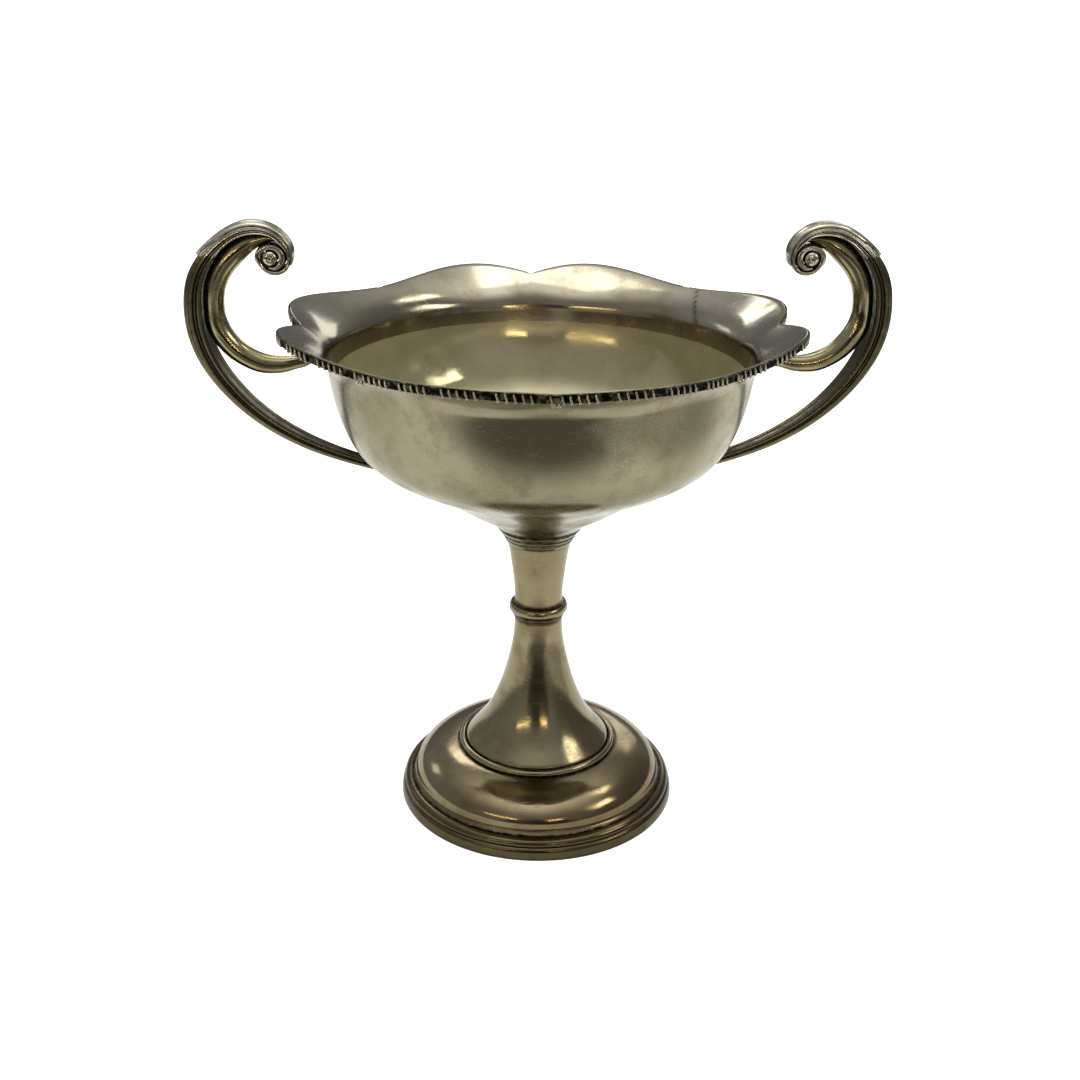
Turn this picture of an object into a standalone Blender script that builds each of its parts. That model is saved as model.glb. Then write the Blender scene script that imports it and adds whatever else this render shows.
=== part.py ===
"""Two-handled pedestal bowl of silver plate: lobed bowl, knopped stem, stepped foot, two scroll handles.

Frame: the origin is the centre of the base, +Z runs up the axis, the handles lie along X and -Y is the front.
Sizes below are in millimetres and are scaled to metres as each shape is made.
"""

import math

import bmesh
import bpy
import numpy as np
from mathutils import Matrix, Vector

MM = 0.001
GAP = 0.3  # clearance that soldered neighbours keep
MERGE = 0.00001  # merge distance in metres
WALL = 1.3  # spun sheet

# Rim: eight lobes that meet in notches, two of them over the handles. Each lobe is fuller towards the notch
# at its axis (X or Y) and runs out slackly towards the notch on the diagonal.
LOBES = 8
NOTCH_RADIUS = 120.4
NOTCH_HEIGHT = 267.0
LOBE_BULGE = 11.1
LOBE_RISE = 4.2
LOBE_FULLNESS = 1.1
LOBE_SKEW = 1.6
SEGMENTS_PER_LOBE = 8

# Bowl wall, from the flat bottom up to where the rim starts to flare
BOWL_BOTTOM = 160.3
BOWL_SEAT_RADIUS = 22.4
BOWL_SIDE = [(24.6, 162.6), (29.2, 166.0), (35.7, 170.0), (43.4, 175.0), (51.9, 180.8), (64.2, 188.2),
             (80.6, 196.8), (94.0, 207.8), (101.3, 222.0), (105.6, 238.0), (107.6, 252.0)]
WALL_STEPS = 9
FLARE_CONTROL = (109.6, 260.5)
FLARE_STEPS = 4

# Rim border: a cast wire under each lobe
BORDER_RADIUS = 1.6
BORDER_INSET = 0.6
BORDER_DROP = 2.65
BORDER_END = 0.035  # share of the lobe left free at each notch
BORDER_STATIONS = 11

# Cover of the border's joint at a notch: a wedge under the flare with a pair of beads
JOINT_OUTER = 119.4
JOINT_INNER = 113.4
JOINT_HALF_WIDTH = 2.3
JOINT_TOP = (265.5, 260.9)  # heights at the outer and the inner side, parallel to the flare
DROP_INNER = 116.4
DROP_HEIGHT = 262.2
DROP_BEAD_RADIUS = 1.35
DROP_BEAD_SIDE = 1.25

# Stem
COLLAR_TOP = 160.0
COLLAR_BOTTOM = 151.6
KNOP_TOP = 116.0
KNOP_BOTTOM = 109.6
KNOP_RADIUS = 15.8
STEM_STEPS = 28
LOWER_STEM_STEPS = 36

# Foot
FOOT_RADIUS = 76.4
SKIRT_TOP = 6.9
SKIRT_INNER = 70.4
DOME_TOP = (43.3, 30.5)
DOME_EDGE = (67.6, 15.0)
DOME_FULLNESS = 1.74
DOME_ARC_POINTS = 7
DOME_INNER_EDGE = 38.4
FOOT_STEPS = 44

# Handle, drawn for the right side in the plane y = 0. The strap is rolled into a scroll around a pin.
SCROLL_EYE = (132.1, 302.0)
SCROLL_HALF_WIDTH = 7.1
# Roll from its inner end outwards: degrees around the eye, radius of its outer line and depth below it
SCROLL_ROLL = [(640.0, 5.0, 1.0), (615.0, 6.1, 2.0), (590.0, 7.05, 2.9), (565.0, 7.6, 3.4),
               (540.0, 7.85, 3.7), (510.0, 7.7, 3.6), (480.0, 7.1, 3.0), (450.0, 6.8, 2.7),
               (420.0, 6.9, 2.8), (395.0, 7.3, 3.2), (375.0, 7.6, 3.5), (355.0, 7.5, 3.4),
               (330.0, 6.9, 2.6), (300.0, 7.1, 1.9), (270.0, 8.2, 2.2), (240.0, 9.3, 2.1),
               (220.0, 9.9, 2.1), (200.0, 10.15, 2.0), (180.0, 10.2, 1.9), (150.0, 10.5, 2.3)]
DOMING = (220.0, 140.0)  # degrees between which the flat section of the roll turns into the strap's domed one
SCROLL_STATIONS = 38  # steps up to the top of the strap
STRAP_STATIONS = 26  # steps from there to the bowl
STRAP_TOP = 3  # the top's place in the route below
PIN_RADIUS = 3.6
PIN_HALF_LENGTH = 8.4
PIN_STEPS = 16
# Strap from the scroll to the bowl: x and z of its outer line, depth below it and half width
STRAP_ROUTE = [(125.5, 311.3, 3.1, 7.2), (129.7, 315.0, 3.4, 7.3), (134.9, 317.2, 4.1, 7.4),
               (140.6, 317.9, 4.7, 7.5), (147.0, 316.9, 5.0, 7.6), (153.2, 314.2, 5.3, 7.7),
               (159.3, 310.0, 6.0, 7.8), (166.6, 303.3, 7.5, 7.9), (173.4, 292.2, 8.9, 7.9),
               (176.1, 279.6, 9.7, 7.9), (175.7, 266.5, 9.8, 7.9), (172.8, 254.8, 9.7, 7.8),
               (167.5, 243.8, 9.2, 7.6), (159.6, 232.8, 8.5, 7.2), (148.2, 221.2, 7.7, 6.6),
               (133.0, 210.2, 6.9, 5.9), (114.8, 201.1, 6.0, 5.2), (98.0, 195.2, 5.2, 4.6),
               (82.0, 190.9, 4.8, 4.3), (70.0, 188.9, 4.6, 4.2), (56.0, 187.2, 4.6, 4.2)]
# Halves of the two sections, as shares of the depth and of the half width. The strap has a domed crown, a
# groove, a flange and a hollow underside in which the tube nests; the roll has flat faces.
STRAP_SECTION = [(0.0, 0.0), (0.05, 0.46), (0.22, 0.78), (0.50, 0.90), (0.57, 0.84), (0.66, 0.97),
                 (0.92, 1.0), (1.0, 0.86), (0.82, 0.0)]
ROLL_SECTION = [(0.0, 0.0), (0.02, 0.5), (0.06, 0.82), (0.16, 0.95), (0.36, 1.0), (0.6, 1.0),
                (0.88, 1.0), (1.0, 0.92), (0.95, 0.0)]
CROWN_POINTS = 4  # points of a section that belong to its crown
# Round branch from the scroll to under the rim: x, z and radius
TUBE_ROUTE = [(128.9, 309.5, 0.4), (130.7, 310.1, 0.8), (133.2, 310.6, 1.5), (136.7, 310.3, 2.2),
              (140.6, 309.4, 3.85), (144.3, 307.6, 4.8), (149.9, 303.3, 5.5), (154.6, 298.2, 5.3),
              (158.2, 292.6, 5.2), (160.6, 286.3, 5.1), (161.5, 279.2, 5.05), (161.4, 272.5, 5.1),
              (160.0, 266.1, 5.45), (156.25, 259.9, 5.4), (151.4, 254.65, 5.3), (146.4, 251.2, 5.15),
              (140.6, 248.6, 5.05), (134.7, 247.6, 4.65), (128.2, 247.8, 4.1), (122.6, 248.7, 3.3),
              (118.6, 249.3, 2.75), (116.4, 249.9, 2.1)]
TUBE_STATIONS = 34
# Leaf cap laid over the strap's top, from the side of the scroll to its raised tip on the shoulder
LEAF_THICKNESS = 1.2
LEAF_GAP = 0.45  # measured along the strap's depth, so that its sloped sides stay clear
LEAF_SECTION = (0.0, 0.42, 0.78)  # shares of the strap's half width
LEAF_START_HEIGHT = 299.0  # on the outer side of the scroll
LEAF_RISE_SHARE = 0.16  # share of its length over which its near end thickens
LEAF_TIP_X = 167.6
LEAF_TAPER_SHARE = 0.2  # share of its length over which the tip narrows
# Lug between the arm and the flare: where it stands on the arm
LUG_FOOT_INNER = 116.8
LUG_FOOT_OUTER = 121.4
LUG_FOOT_HEIGHT = 252.4
LUG_EDGE = 0.5

COLOURS = {
    "silver": (0.42, 0.39, 0.31),
    "stem": (0.36, 0.33, 0.25),
    "foot": (0.25, 0.21, 0.14),
    "handle": (0.17, 0.15, 0.10),
    "border": (0.14, 0.12, 0.08),
}
ROUGHNESS = {"silver": 0.24, "stem": 0.26, "foot": 0.22, "handle": 0.3, "border": 0.42}


def clear_scene():
    """Remove whatever the file holds, so the model starts from nothing."""
    for item in list(bpy.data.objects):
        bpy.data.objects.remove(item, do_unlink=True)


def new_collection(name):
    """Make a collection under the scene and return it."""
    group = bpy.data.collections.new(name)
    bpy.context.scene.collection.children.link(group)
    return group


def finish_material(name, finish):
    """Make the tarnished silver-plate material of one piece."""
    material = bpy.data.materials.new(f"{name}_finish")
    material.use_nodes = True
    shader = material.node_tree.nodes["Principled BSDF"]
    shader.inputs["Base Color"].default_value = (*COLOURS[finish], 1.0)
    shader.inputs["Metallic"].default_value = 1.0
    shader.inputs["Roughness"].default_value = ROUGHNESS[finish]
    return material


def add_piece(name, data, finish):
    """Put mesh or curve data into the scene as a named piece with its own material."""
    piece = bpy.data.objects.new(name, data)
    PARTS.objects.link(piece)
    data.name = name
    data.materials.clear()
    data.materials.append(finish_material(name, finish))
    return piece


def add_cutter(name, data):
    """Put mesh data into the scene as a guide that is neither rendered nor built."""
    guide = bpy.data.objects.new(name, data)
    GUIDES.objects.link(guide)
    guide.hide_render = True
    guide.display_type = "WIRE"
    return guide


def shade(mesh, angle=35.0):
    """Shade a mesh smooth and keep its true edges sharp."""
    mesh.shade_smooth()
    mesh.set_sharp_from_angle(angle=math.radians(angle))


def to_mesh_piece(piece, finish):
    """Turn an evaluated object into a plain welded mesh piece at the same place."""
    bpy.context.view_layer.update()
    evaluated = piece.evaluated_get(bpy.context.evaluated_depsgraph_get())
    mesh = bpy.data.meshes.new_from_object(evaluated)
    mesh.transform(piece.matrix_world)
    bm = bmesh.new()
    bm.from_mesh(mesh)
    bmesh.ops.remove_doubles(bm, verts=bm.verts, dist=MERGE)
    bm.to_mesh(mesh)
    bm.free()
    name = piece.name
    bpy.data.objects.remove(piece, do_unlink=True)
    shade(mesh)
    return add_piece(name, mesh, finish)


def mirrored_piece(piece, name, finish):
    """Copy a right-hand piece to the left side."""
    mesh = piece.data.copy()
    mesh.transform(Matrix.Scale(-1.0, 4, Vector((1.0, 0.0, 0.0))))
    mesh.flip_normals()
    return add_piece(name, mesh, finish)


def join_boolean(piece, other, operation):
    """Join another shape to a piece, or cut it away, with the exact solver."""
    joint = piece.modifiers.new(operation.lower(), "BOOLEAN")
    joint.operation = operation
    joint.solver = "EXACT"
    joint.object = other


def spline(points, steps, split=None):
    """Read points from a natural cubic curve whose knots start with their two plane coordinates.

    The points are evenly spaced. Where split gives a knot's number, the steps before and after it are a pair.
    """
    knots = np.array(points, dtype=float)
    lengths = np.hypot(*np.diff(knots[:, :2], axis=0).T)
    t = np.concatenate([[0.0], np.cumsum(lengths)])
    n = len(t)
    system = np.eye(n)
    slopes = np.zeros_like(knots)
    for i in range(1, n - 1):
        before, after = t[i] - t[i - 1], t[i + 1] - t[i]
        system[i, i - 1 : i + 2] = before, 2.0 * (before + after), after
        slopes[i] = 6.0 * ((knots[i + 1] - knots[i]) / after - (knots[i] - knots[i - 1]) / before)
    bends = np.linalg.solve(system, slopes)
    if split is None:
        places = np.linspace(0.0, t[-1], steps + 1)
    else:
        places = np.concatenate([np.linspace(0.0, t[split], steps[0] + 1),
                                 np.linspace(t[split], t[-1], steps[1] + 1)[1:]])
    values = []
    for place in places:
        i = min(int(np.searchsorted(t, place, side="right")) - 1, n - 2)
        span = t[i + 1] - t[i]
        a, b = (t[i + 1] - place) / span, (place - t[i]) / span
        bow = ((a**3 - a) * bends[i] + (b**3 - b) * bends[i + 1]) * span**2 / 6.0
        values.append(a * knots[i] + b * knots[i + 1] + bow)
    return [tuple(float(number) for number in value) for value in values]


def profile_mesh(name, outline, closed):
    """Make the wire of a turned profile in the XZ plane, which runs down its outer side."""
    mesh = bpy.data.meshes.new(name)
    count = len(outline)
    edges = [(i, (i + 1) % count) for i in range(count if closed else count - 1)]
    mesh.from_pydata([(r * MM, 0.0, z * MM) for r, z in outline], edges, [])
    return mesh


def add_screw(piece, steps):
    """Turn a profile once around the Z axis."""
    screw = piece.modifiers.new("turned", "SCREW")
    screw.axis = "Z"
    screw.angle = math.tau
    screw.steps = screw.render_steps = steps
    screw.use_merge_vertices = True
    screw.merge_threshold = MERGE
    screw.use_smooth_shade = True


def turned_solid(name, outline, finish, steps, closed=True):
    """Turn a closed outline, or one whose two ends lie on the axis, into a solid."""
    piece = add_piece(name, profile_mesh(name, outline, closed), finish)
    add_screw(piece, steps)
    return piece


def turned_shell(name, profile, finish, steps):
    """Turn an open outer profile and give it a wall inwards, as spun sheet has."""
    piece = turned_solid(name, profile, finish, steps, closed=False)
    sheet = piece.modifiers.new("sheet", "SOLIDIFY")
    sheet.thickness = WALL * MM
    sheet.offset = -1.0
    return piece


def lofted_piece(name, rings, finish):
    """Skin a row of sections, given as points in millimetres, and close both ends."""
    bm = bmesh.new()
    loops = [[bm.verts.new([number * MM for number in point]) for point in ring] for ring in rings]
    for near, far in zip(loops, loops[1:]):
        for i in range(len(near)):
            j = (i + 1) % len(near)
            bm.faces.new((near[i], near[j], far[j], far[i]))
    bm.faces.new(loops[0])
    bm.faces.new(reversed(loops[-1]))
    bmesh.ops.recalc_face_normals(bm, faces=bm.faces)
    mesh = bpy.data.meshes.new(name)
    bm.to_mesh(mesh)
    bm.free()
    shade(mesh)
    return add_piece(name, mesh, finish)


def rim_edge(angle):
    """Return the radius and height of the rim's edge at an angle around the axis, in radians."""
    share = abs((angle * LOBES / math.tau) % 2.0 - 1.0)  # 0 on a diagonal, 1 on an axis
    swell = max(0.0, math.sin(math.pi * share**LOBE_SKEW)) ** LOBE_FULLNESS
    return NOTCH_RADIUS + LOBE_BULGE * swell, NOTCH_HEIGHT + LOBE_RISE * swell


def flare_point(angle, t):
    """Return radius and height on the flare, a quadratic curve from the wall (t = 0) to the edge (t = 1)."""
    start, end = BOWL_SIDE[-1], rim_edge(angle)
    a, b, c = (1.0 - t) ** 2, 2.0 * t * (1.0 - t), t * t
    return tuple(a * start[k] + b * FLARE_CONTROL[k] + c * end[k] for k in range(2))


def make_bowl():
    """Spin the bowl's wall and push its top out into lobes, then give it its thickness."""
    bm = bmesh.new()
    flare = bm.verts.layers.float.new("flare")
    wall = [(0.0, BOWL_BOTTOM), (BOWL_SEAT_RADIUS, BOWL_BOTTOM)]
    wall += spline(BOWL_SIDE, WALL_STEPS)
    chain = []
    for r, z in wall:
        chain.append(bm.verts.new((r * MM, 0.0, z * MM)))
    for step in range(1, FLARE_STEPS + 1):
        point = bm.verts.new(((wall[-1][0] + step) * MM, 0.0, wall[-1][1] * MM))
        point[flare] = step / FLARE_STEPS
        chain.append(point)
    edges = [bm.edges.new(pair) for pair in zip(chain, chain[1:])]
    bmesh.ops.spin(bm, geom=chain + edges, cent=(0.0, 0.0, 0.0), axis=(0.0, 0.0, 1.0), angle=math.tau,
                   steps=LOBES * SEGMENTS_PER_LOBE, use_duplicate=False)
    bmesh.ops.remove_doubles(bm, verts=bm.verts, dist=MERGE)
    for point in bm.verts:
        if point[flare] > 0.0:
            angle = math.atan2(point.co.y, point.co.x)
            r, z = flare_point(angle, point[flare])
            point.co = (r * math.cos(angle) * MM, r * math.sin(angle) * MM, z * MM)
    bmesh.ops.recalc_face_normals(bm, faces=bm.faces)
    bottom = min(bm.faces, key=lambda face: face.calc_center_median().z)
    if bottom.normal.z > 0.0:
        bmesh.ops.reverse_faces(bm, faces=bm.faces)
    mesh = bpy.data.meshes.new("bowl")
    bm.to_mesh(mesh)
    bm.free()
    bowl = add_piece("bowl", mesh, "silver")
    shade(mesh, 50.0)
    sheet = bowl.modifiers.new("sheet", "SOLIDIFY")
    sheet.thickness = WALL * MM
    sheet.offset = -1.0
    return bowl


def make_rim_border(lobe):
    """Lay one cast border wire under the edge of a lobe."""
    curve = bpy.data.curves.new(f"rim_border_{lobe + 1}", "CURVE")
    curve.dimensions = "3D"
    curve.bevel_depth = BORDER_RADIUS * MM
    curve.bevel_resolution = 2
    curve.use_fill_caps = True
    line = curve.splines.new("POLY")
    line.points.add(BORDER_STATIONS - 1)
    for i, point in enumerate(line.points):
        share = BORDER_END + (1.0 - 2.0 * BORDER_END) * i / (BORDER_STATIONS - 1)
        angle = (lobe + share) * math.tau / LOBES
        r, z = rim_edge(angle)
        r -= BORDER_INSET
        point.co = (r * math.cos(angle) * MM, r * math.sin(angle) * MM, (z - BORDER_DROP) * MM, 1.0)
    add_piece(f"rim_border_{lobe + 1}", curve, "border")


def joint_top_height(x):
    """Return the height of the joint's sloped top at a distance from the axis."""
    share = (x - JOINT_INNER) / (JOINT_OUTER - JOINT_INNER)
    return JOINT_TOP[1] + share * (JOINT_TOP[0] - JOINT_TOP[1])


def wedge_mesh(name, foot, top):
    """Make a block at +X from its foot (inner x, outer x, height) and its sloped top (inner x, outer x)."""
    bm = bmesh.new()
    bmesh.ops.create_cube(bm, size=2.0)
    for corner in bm.verts:
        outer = corner.co.x > 0.0
        if corner.co.z > 0.0:
            x = top[outer]
            z = joint_top_height(x)
        else:
            x, z = foot[outer], foot[2]
        corner.co = (x * MM, math.copysign(JOINT_HALF_WIDTH, corner.co.y) * MM, z * MM)
    mesh = bpy.data.meshes.new(name)
    bm.to_mesh(mesh)
    bm.free()
    return mesh


def make_notch_drops():
    """Cover the border's joint at each notch, away from the handles, with a wedge and a pair of beads."""
    wedge = wedge_mesh("notch_drop", (DROP_INNER, JOINT_OUTER, DROP_HEIGHT), (DROP_INNER, JOINT_OUTER))
    drop = add_piece("notch_drop", wedge, "border")
    for side in (-1.0, 1.0):
        bm = bmesh.new()
        place = Matrix.Translation((JOINT_OUTER * MM, side * DROP_BEAD_SIDE * MM, DROP_HEIGHT * MM))
        bmesh.ops.create_uvsphere(bm, u_segments=8, v_segments=6, radius=DROP_BEAD_RADIUS * MM, matrix=place)
        bead = bpy.data.meshes.new("notch_bead")
        bm.to_mesh(bead)
        bm.free()
        join_boolean(drop, add_cutter("notch_bead", bead), "UNION")
    drop = to_mesh_piece(drop, "border")
    shape = drop.data.copy()
    bpy.data.objects.remove(drop, do_unlink=True)
    number = 0
    for notch in range(LOBES):
        if notch % (LOBES // 2) != 0:
            number += 1
            mesh = shape.copy()
            mesh.transform(Matrix.Rotation(notch * math.tau / LOBES, 4, "Z"))
            add_piece(f"notch_drop_{number}", mesh, "border")


def make_stem():
    """Turn the collar, the upper stem, the knop and the trumpet-shaped lower stem."""
    collar = [(22.4, COLLAR_TOP), (20.6, 157.2), (19.7, 156.7), (19.9, 155.9), (18.6, 154.4), (18.6, 153.6),
              (17.5, COLLAR_BOTTOM), (14.0, COLLAR_BOTTOM), (16.5, 155.5), (19.0, COLLAR_TOP)]
    turned_solid("stem_collar", collar, "silver", STEM_STEPS)
    upper = [(17.1, COLLAR_BOTTOM - 2.5 * GAP), (15.9, 146.0), (14.7, 138.0), (13.7, 130.0), (13.0, 122.0),
             (12.9, KNOP_TOP + GAP)]
    turned_shell("upper_stem", spline(upper, 6), "silver", STEM_STEPS)
    knop = [(12.9, KNOP_TOP), (14.5, 115.3), (15.5, 114.0), (KNOP_RADIUS, 112.4), (15.3, 110.8),
            (13.9, KNOP_BOTTOM), (10.6, KNOP_BOTTOM), (10.6, KNOP_TOP)]
    turned_solid("knop_ring", knop, "stem", STEM_STEPS)
    lower = [(13.7, KNOP_BOTTOM - GAP), (13.9, 108.4)]
    lower += spline([(12.9, 106.8), (13.7, 94.0), (16.0, 82.0), (19.1, 70.0), (22.6, 60.0), (26.2, 52.0),
                     (31.1, 44.0), (36.0, 38.0), (39.3, 34.2)], 9)
    lower += [(39.7, 33.2), (39.7, DOME_TOP[1] + 2.0 * GAP)]
    turned_shell("lower_stem", lower, "stem", LOWER_STEM_STEPS)


def make_foot():
    """Turn the bead ring, the spun dome, the roll and the skirt that the bowl stands on."""
    seat = DOME_TOP[1] + GAP
    bead = [(40.2, seat), (40.2, seat + 1.0), (40.5, seat + 2.1), (41.6, seat + 2.7), (42.8, seat + 2.2),
            (43.5, seat + 1.1), (43.2, seat)]
    turned_solid("foot_bead_ring", bead, "stem", FOOT_STEPS)
    dome = [(DOME_INNER_EDGE, DOME_TOP[1])]
    for step in range(DOME_ARC_POINTS):
        turn = 0.5 * math.pi * (1.0 - step / (DOME_ARC_POINTS - 1))
        r = DOME_TOP[0] + (DOME_EDGE[0] - DOME_TOP[0]) * math.cos(turn) ** (2.0 / DOME_FULLNESS)
        z = DOME_EDGE[1] + (DOME_TOP[1] - DOME_EDGE[1]) * math.sin(turn) ** (2.0 / DOME_FULLNESS)
        dome.append((r, z))
    edge = SKIRT_INNER - GAP
    dome += [(68.2, 12.8), (edge, 11.2), (edge, 0.5)]
    turned_shell("foot_dome", dome, "foot", FOOT_STEPS)
    roll = [(SKIRT_INNER, 11.0), (72.4, 10.8), (74.0, 9.9), (74.8, 8.4), (74.4, SKIRT_TOP + GAP),
            (SKIRT_INNER, SKIRT_TOP + GAP)]
    turned_solid("foot_roll", roll, "foot", FOOT_STEPS)
    skirt = [(73.6, SKIRT_TOP), (75.2, 6.0), (76.1, 3.6), (FOOT_RADIUS, 0.0), (SKIRT_INNER, 0.0),
             (SKIRT_INNER, SKIRT_TOP)]
    turned_solid("foot_skirt", skirt, "foot", FOOT_STEPS)


def strap_stations():
    """Return the strap's stations from the inner end of the roll to inside the bowl's wall.

    Each holds x, z, depth, half width and the share of doming in its section.
    """
    rolled = []
    for degrees, radius, depth in SCROLL_ROLL:
        turn = math.radians(degrees)
        doming = min(1.0, max(0.0, (DOMING[0] - degrees) / (DOMING[0] - DOMING[1])))
        x, z = SCROLL_EYE[0] + radius * math.cos(turn), SCROLL_EYE[1] + radius * math.sin(turn)
        rolled.append((x, z, depth, SCROLL_HALF_WIDTH, doming))
    route = [(*station, 1.0) for station in STRAP_ROUTE]
    return spline(rolled + route, (SCROLL_STATIONS, STRAP_STATIONS), split=len(rolled) + STRAP_TOP)


def half_section(doming):
    """Return half of the strap's section, as shares of its depth and of its half width."""
    share = min(1.0, max(0.0, doming))
    return [tuple(flat + (domed - flat) * share for flat, domed in zip(rolled, reeded))
            for rolled, reeded in zip(ROLL_SECTION, STRAP_SECTION)]


def station_sections(stations, outline_of):
    """Place a section at each station, square to the line, with its depth towards the inside of the bend."""
    line = np.array([station[:2] for station in stations])
    rings = []
    for station, (tx, tz) in zip(stations, np.gradient(line, axis=0)):
        size = math.hypot(tx, tz)
        inwards = (tz / size, -tx / size)
        outline = outline_of(station)
        rings.append([(station[0] + inwards[0] * depth, width, station[1] + inwards[1] * depth)
                      for depth, width in outline])
    return rings


def strap_outline(station):
    """Return the closed section of the strap at a station, as depths and widths."""
    half = [(depth * station[2], width * station[3]) for depth, width in half_section(station[4])]
    return half + [(depth, -width) for depth, width in reversed(half[1:-1])]


def leaf_outline(station):
    """Return the section of the leaf cap, which follows the strap's crown at a gap."""
    depth, half_width, doming, thickness, narrowing = station[2:7]
    depths, widths = zip(*half_section(doming)[:CROWN_POINTS])
    under = []
    for share in LEAF_SECTION:
        place = share * narrowing
        under.append((float(np.interp(place, widths, depths)) * depth - LEAF_GAP, place * half_width))
    half = under + [(depth_there - thickness, width) for depth_there, width in reversed(under)]
    return half + [(depth_there, -width) for depth_there, width in reversed(half[1:-1])]


def leaf_stations(stations):
    """Return the strap's stations under the leaf cap, each with the leaf's thickness and its narrowing."""
    first = max(i for i in range(SCROLL_STATIONS) if stations[i][1] < LEAF_START_HEIGHT)
    last = max(i for i, station in enumerate(stations)
               if station[0] < LEAF_TIP_X and station[1] > SCROLL_EYE[1])
    covered = []
    for i in range(first, last + 1):
        share = (i - first) / (last - first)
        thickness = LEAF_THICKNESS * min(1.0, 0.3 + 0.7 * share / LEAF_RISE_SHARE)
        narrowing = min(1.0, 0.12 + 0.88 * (1.0 - share) / LEAF_TAPER_SHARE)
        covered.append((*stations[i], thickness, narrowing))
    return covered


def swept_piece(name, route, finish, resolution=2):
    """Sweep a round section of varying radius along a route (x, z, radius) in the plane y = 0."""
    curve = bpy.data.curves.new(name, "CURVE")
    curve.dimensions = "3D"
    curve.bevel_depth = MM
    curve.bevel_resolution = resolution
    curve.use_fill_caps = True
    line = curve.splines.new("POLY")
    line.points.add(len(route) - 1)
    for point, (x, z, radius) in zip(line.points, route):
        point.co = (x * MM, 0.0, z * MM, 1.0)
        point.radius = radius
    return to_mesh_piece(add_piece(name, curve, finish), finish)


def bowl_room():
    """Make the cutter that holds the bowl's room: its outer wall, filled, with a gap all round."""
    wall = np.array([(BOWL_SEAT_RADIUS, BOWL_BOTTOM)] + spline(BOWL_SIDE, WALL_STEPS))
    slopes = np.gradient(wall, axis=0)
    outwards = np.stack([slopes[:, 1], -slopes[:, 0]], axis=1) / np.hypot(*slopes.T)[:, None]
    side = [tuple(point) for point in reversed(wall + GAP * outwards)]
    outline = [(0.0, side[0][1])] + side + [(0.0, side[-1][1])]
    room = add_cutter("bowl_room", profile_mesh("bowl_room", outline, False))
    add_screw(room, LOBES * SEGMENTS_PER_LOBE)
    return room


def make_scroll_pin():
    """Turn the pin through the scroll's eye, with a dimple in each domed end."""
    end = [(0.0, -0.55), (0.6, -0.35), (1.2, 0.0), (2.2, -0.1), (3.1, -0.6), (PIN_RADIUS, -1.3)]
    outline = [(r, PIN_HALF_LENGTH + z) for r, z in end]
    outline += [(r, -z) for r, z in reversed(outline)]
    pin = turned_solid("handle_right_scroll_pin", outline, "handle", PIN_STEPS, closed=False)
    pin.rotation_euler = (math.pi / 2.0, 0.0, 0.0)
    pin.location = (SCROLL_EYE[0] * MM, 0.0, SCROLL_EYE[1] * MM)
    return to_mesh_piece(pin, "handle")


def make_rim_lug():
    """Shape the lug between the arm and the flare, in the joint of two border castings."""
    foot = (LUG_FOOT_INNER, LUG_FOOT_OUTER, LUG_FOOT_HEIGHT)
    lug = add_piece("handle_right_rim_lug", wedge_mesh("rim_lug", foot, (JOINT_INNER, JOINT_OUTER)), "handle")
    edges = lug.modifiers.new("edges", "BEVEL")
    edges.width = LUG_EDGE * MM
    edges.segments = 1
    return to_mesh_piece(lug, "handle")


def make_right_handle():
    """Model the right handle: reeded strap, leaf cap, scroll tube with rim arm, scroll pin and rim lug."""
    stations = strap_stations()
    strap = lofted_piece("handle_right_strap", station_sections(stations, strap_outline), "handle")
    join_boolean(strap, bowl_room(), "DIFFERENCE")
    leaf_rings = station_sections(leaf_stations(stations), leaf_outline)
    leaf = lofted_piece("handle_right_leaf_cap", leaf_rings, "handle")
    tube = swept_piece("handle_right_scroll_tube", spline(TUBE_ROUTE, TUBE_STATIONS), "handle")
    return [to_mesh_piece(strap, "handle"), leaf, tube, make_scroll_pin(), make_rim_lug()]


clear_scene()
PARTS = new_collection("two_handled_pedestal_bowl")
GUIDES = new_collection("guides")
make_bowl()
for border in range(LOBES):
    make_rim_border(border)
make_notch_drops()
make_stem()
make_foot()
for made in make_right_handle():
    mirrored_piece(made, made.name.replace("right", "left"), "handle")
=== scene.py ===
"""Looks of a two-handled pedestal bowl: silver-plated sheet and castings, worn and tarnished, on a white table."""

from __future__ import annotations

import logging
import math
from collections.abc import Callable, Sequence
from dataclasses import dataclass, replace
from enum import Enum
from typing import Any

import bpy
import numpy as np
from mathutils import Matrix


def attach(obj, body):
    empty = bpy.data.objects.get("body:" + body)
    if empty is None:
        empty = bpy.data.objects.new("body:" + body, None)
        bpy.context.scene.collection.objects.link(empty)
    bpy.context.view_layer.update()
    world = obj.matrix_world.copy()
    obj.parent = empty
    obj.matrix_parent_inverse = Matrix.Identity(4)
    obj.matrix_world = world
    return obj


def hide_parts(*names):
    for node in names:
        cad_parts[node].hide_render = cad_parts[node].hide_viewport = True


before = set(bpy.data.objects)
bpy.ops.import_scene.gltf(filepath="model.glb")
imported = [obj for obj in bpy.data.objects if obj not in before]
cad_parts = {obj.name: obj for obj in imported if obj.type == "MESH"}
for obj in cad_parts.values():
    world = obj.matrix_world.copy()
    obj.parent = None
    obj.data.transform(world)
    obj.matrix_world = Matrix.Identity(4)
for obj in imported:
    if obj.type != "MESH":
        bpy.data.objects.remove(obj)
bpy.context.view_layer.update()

MM = 0.001
SEAM_MM = 0.002  # within which two points of a seam are one
LOG = logging.getLogger("pedestal_bowl")
Array = np.ndarray
Point = tuple[float, float]
Route = Sequence[tuple[float, ...]]
Rule = Callable[[Array], Array]  # from places in millimetres to new places or to shares
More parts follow.
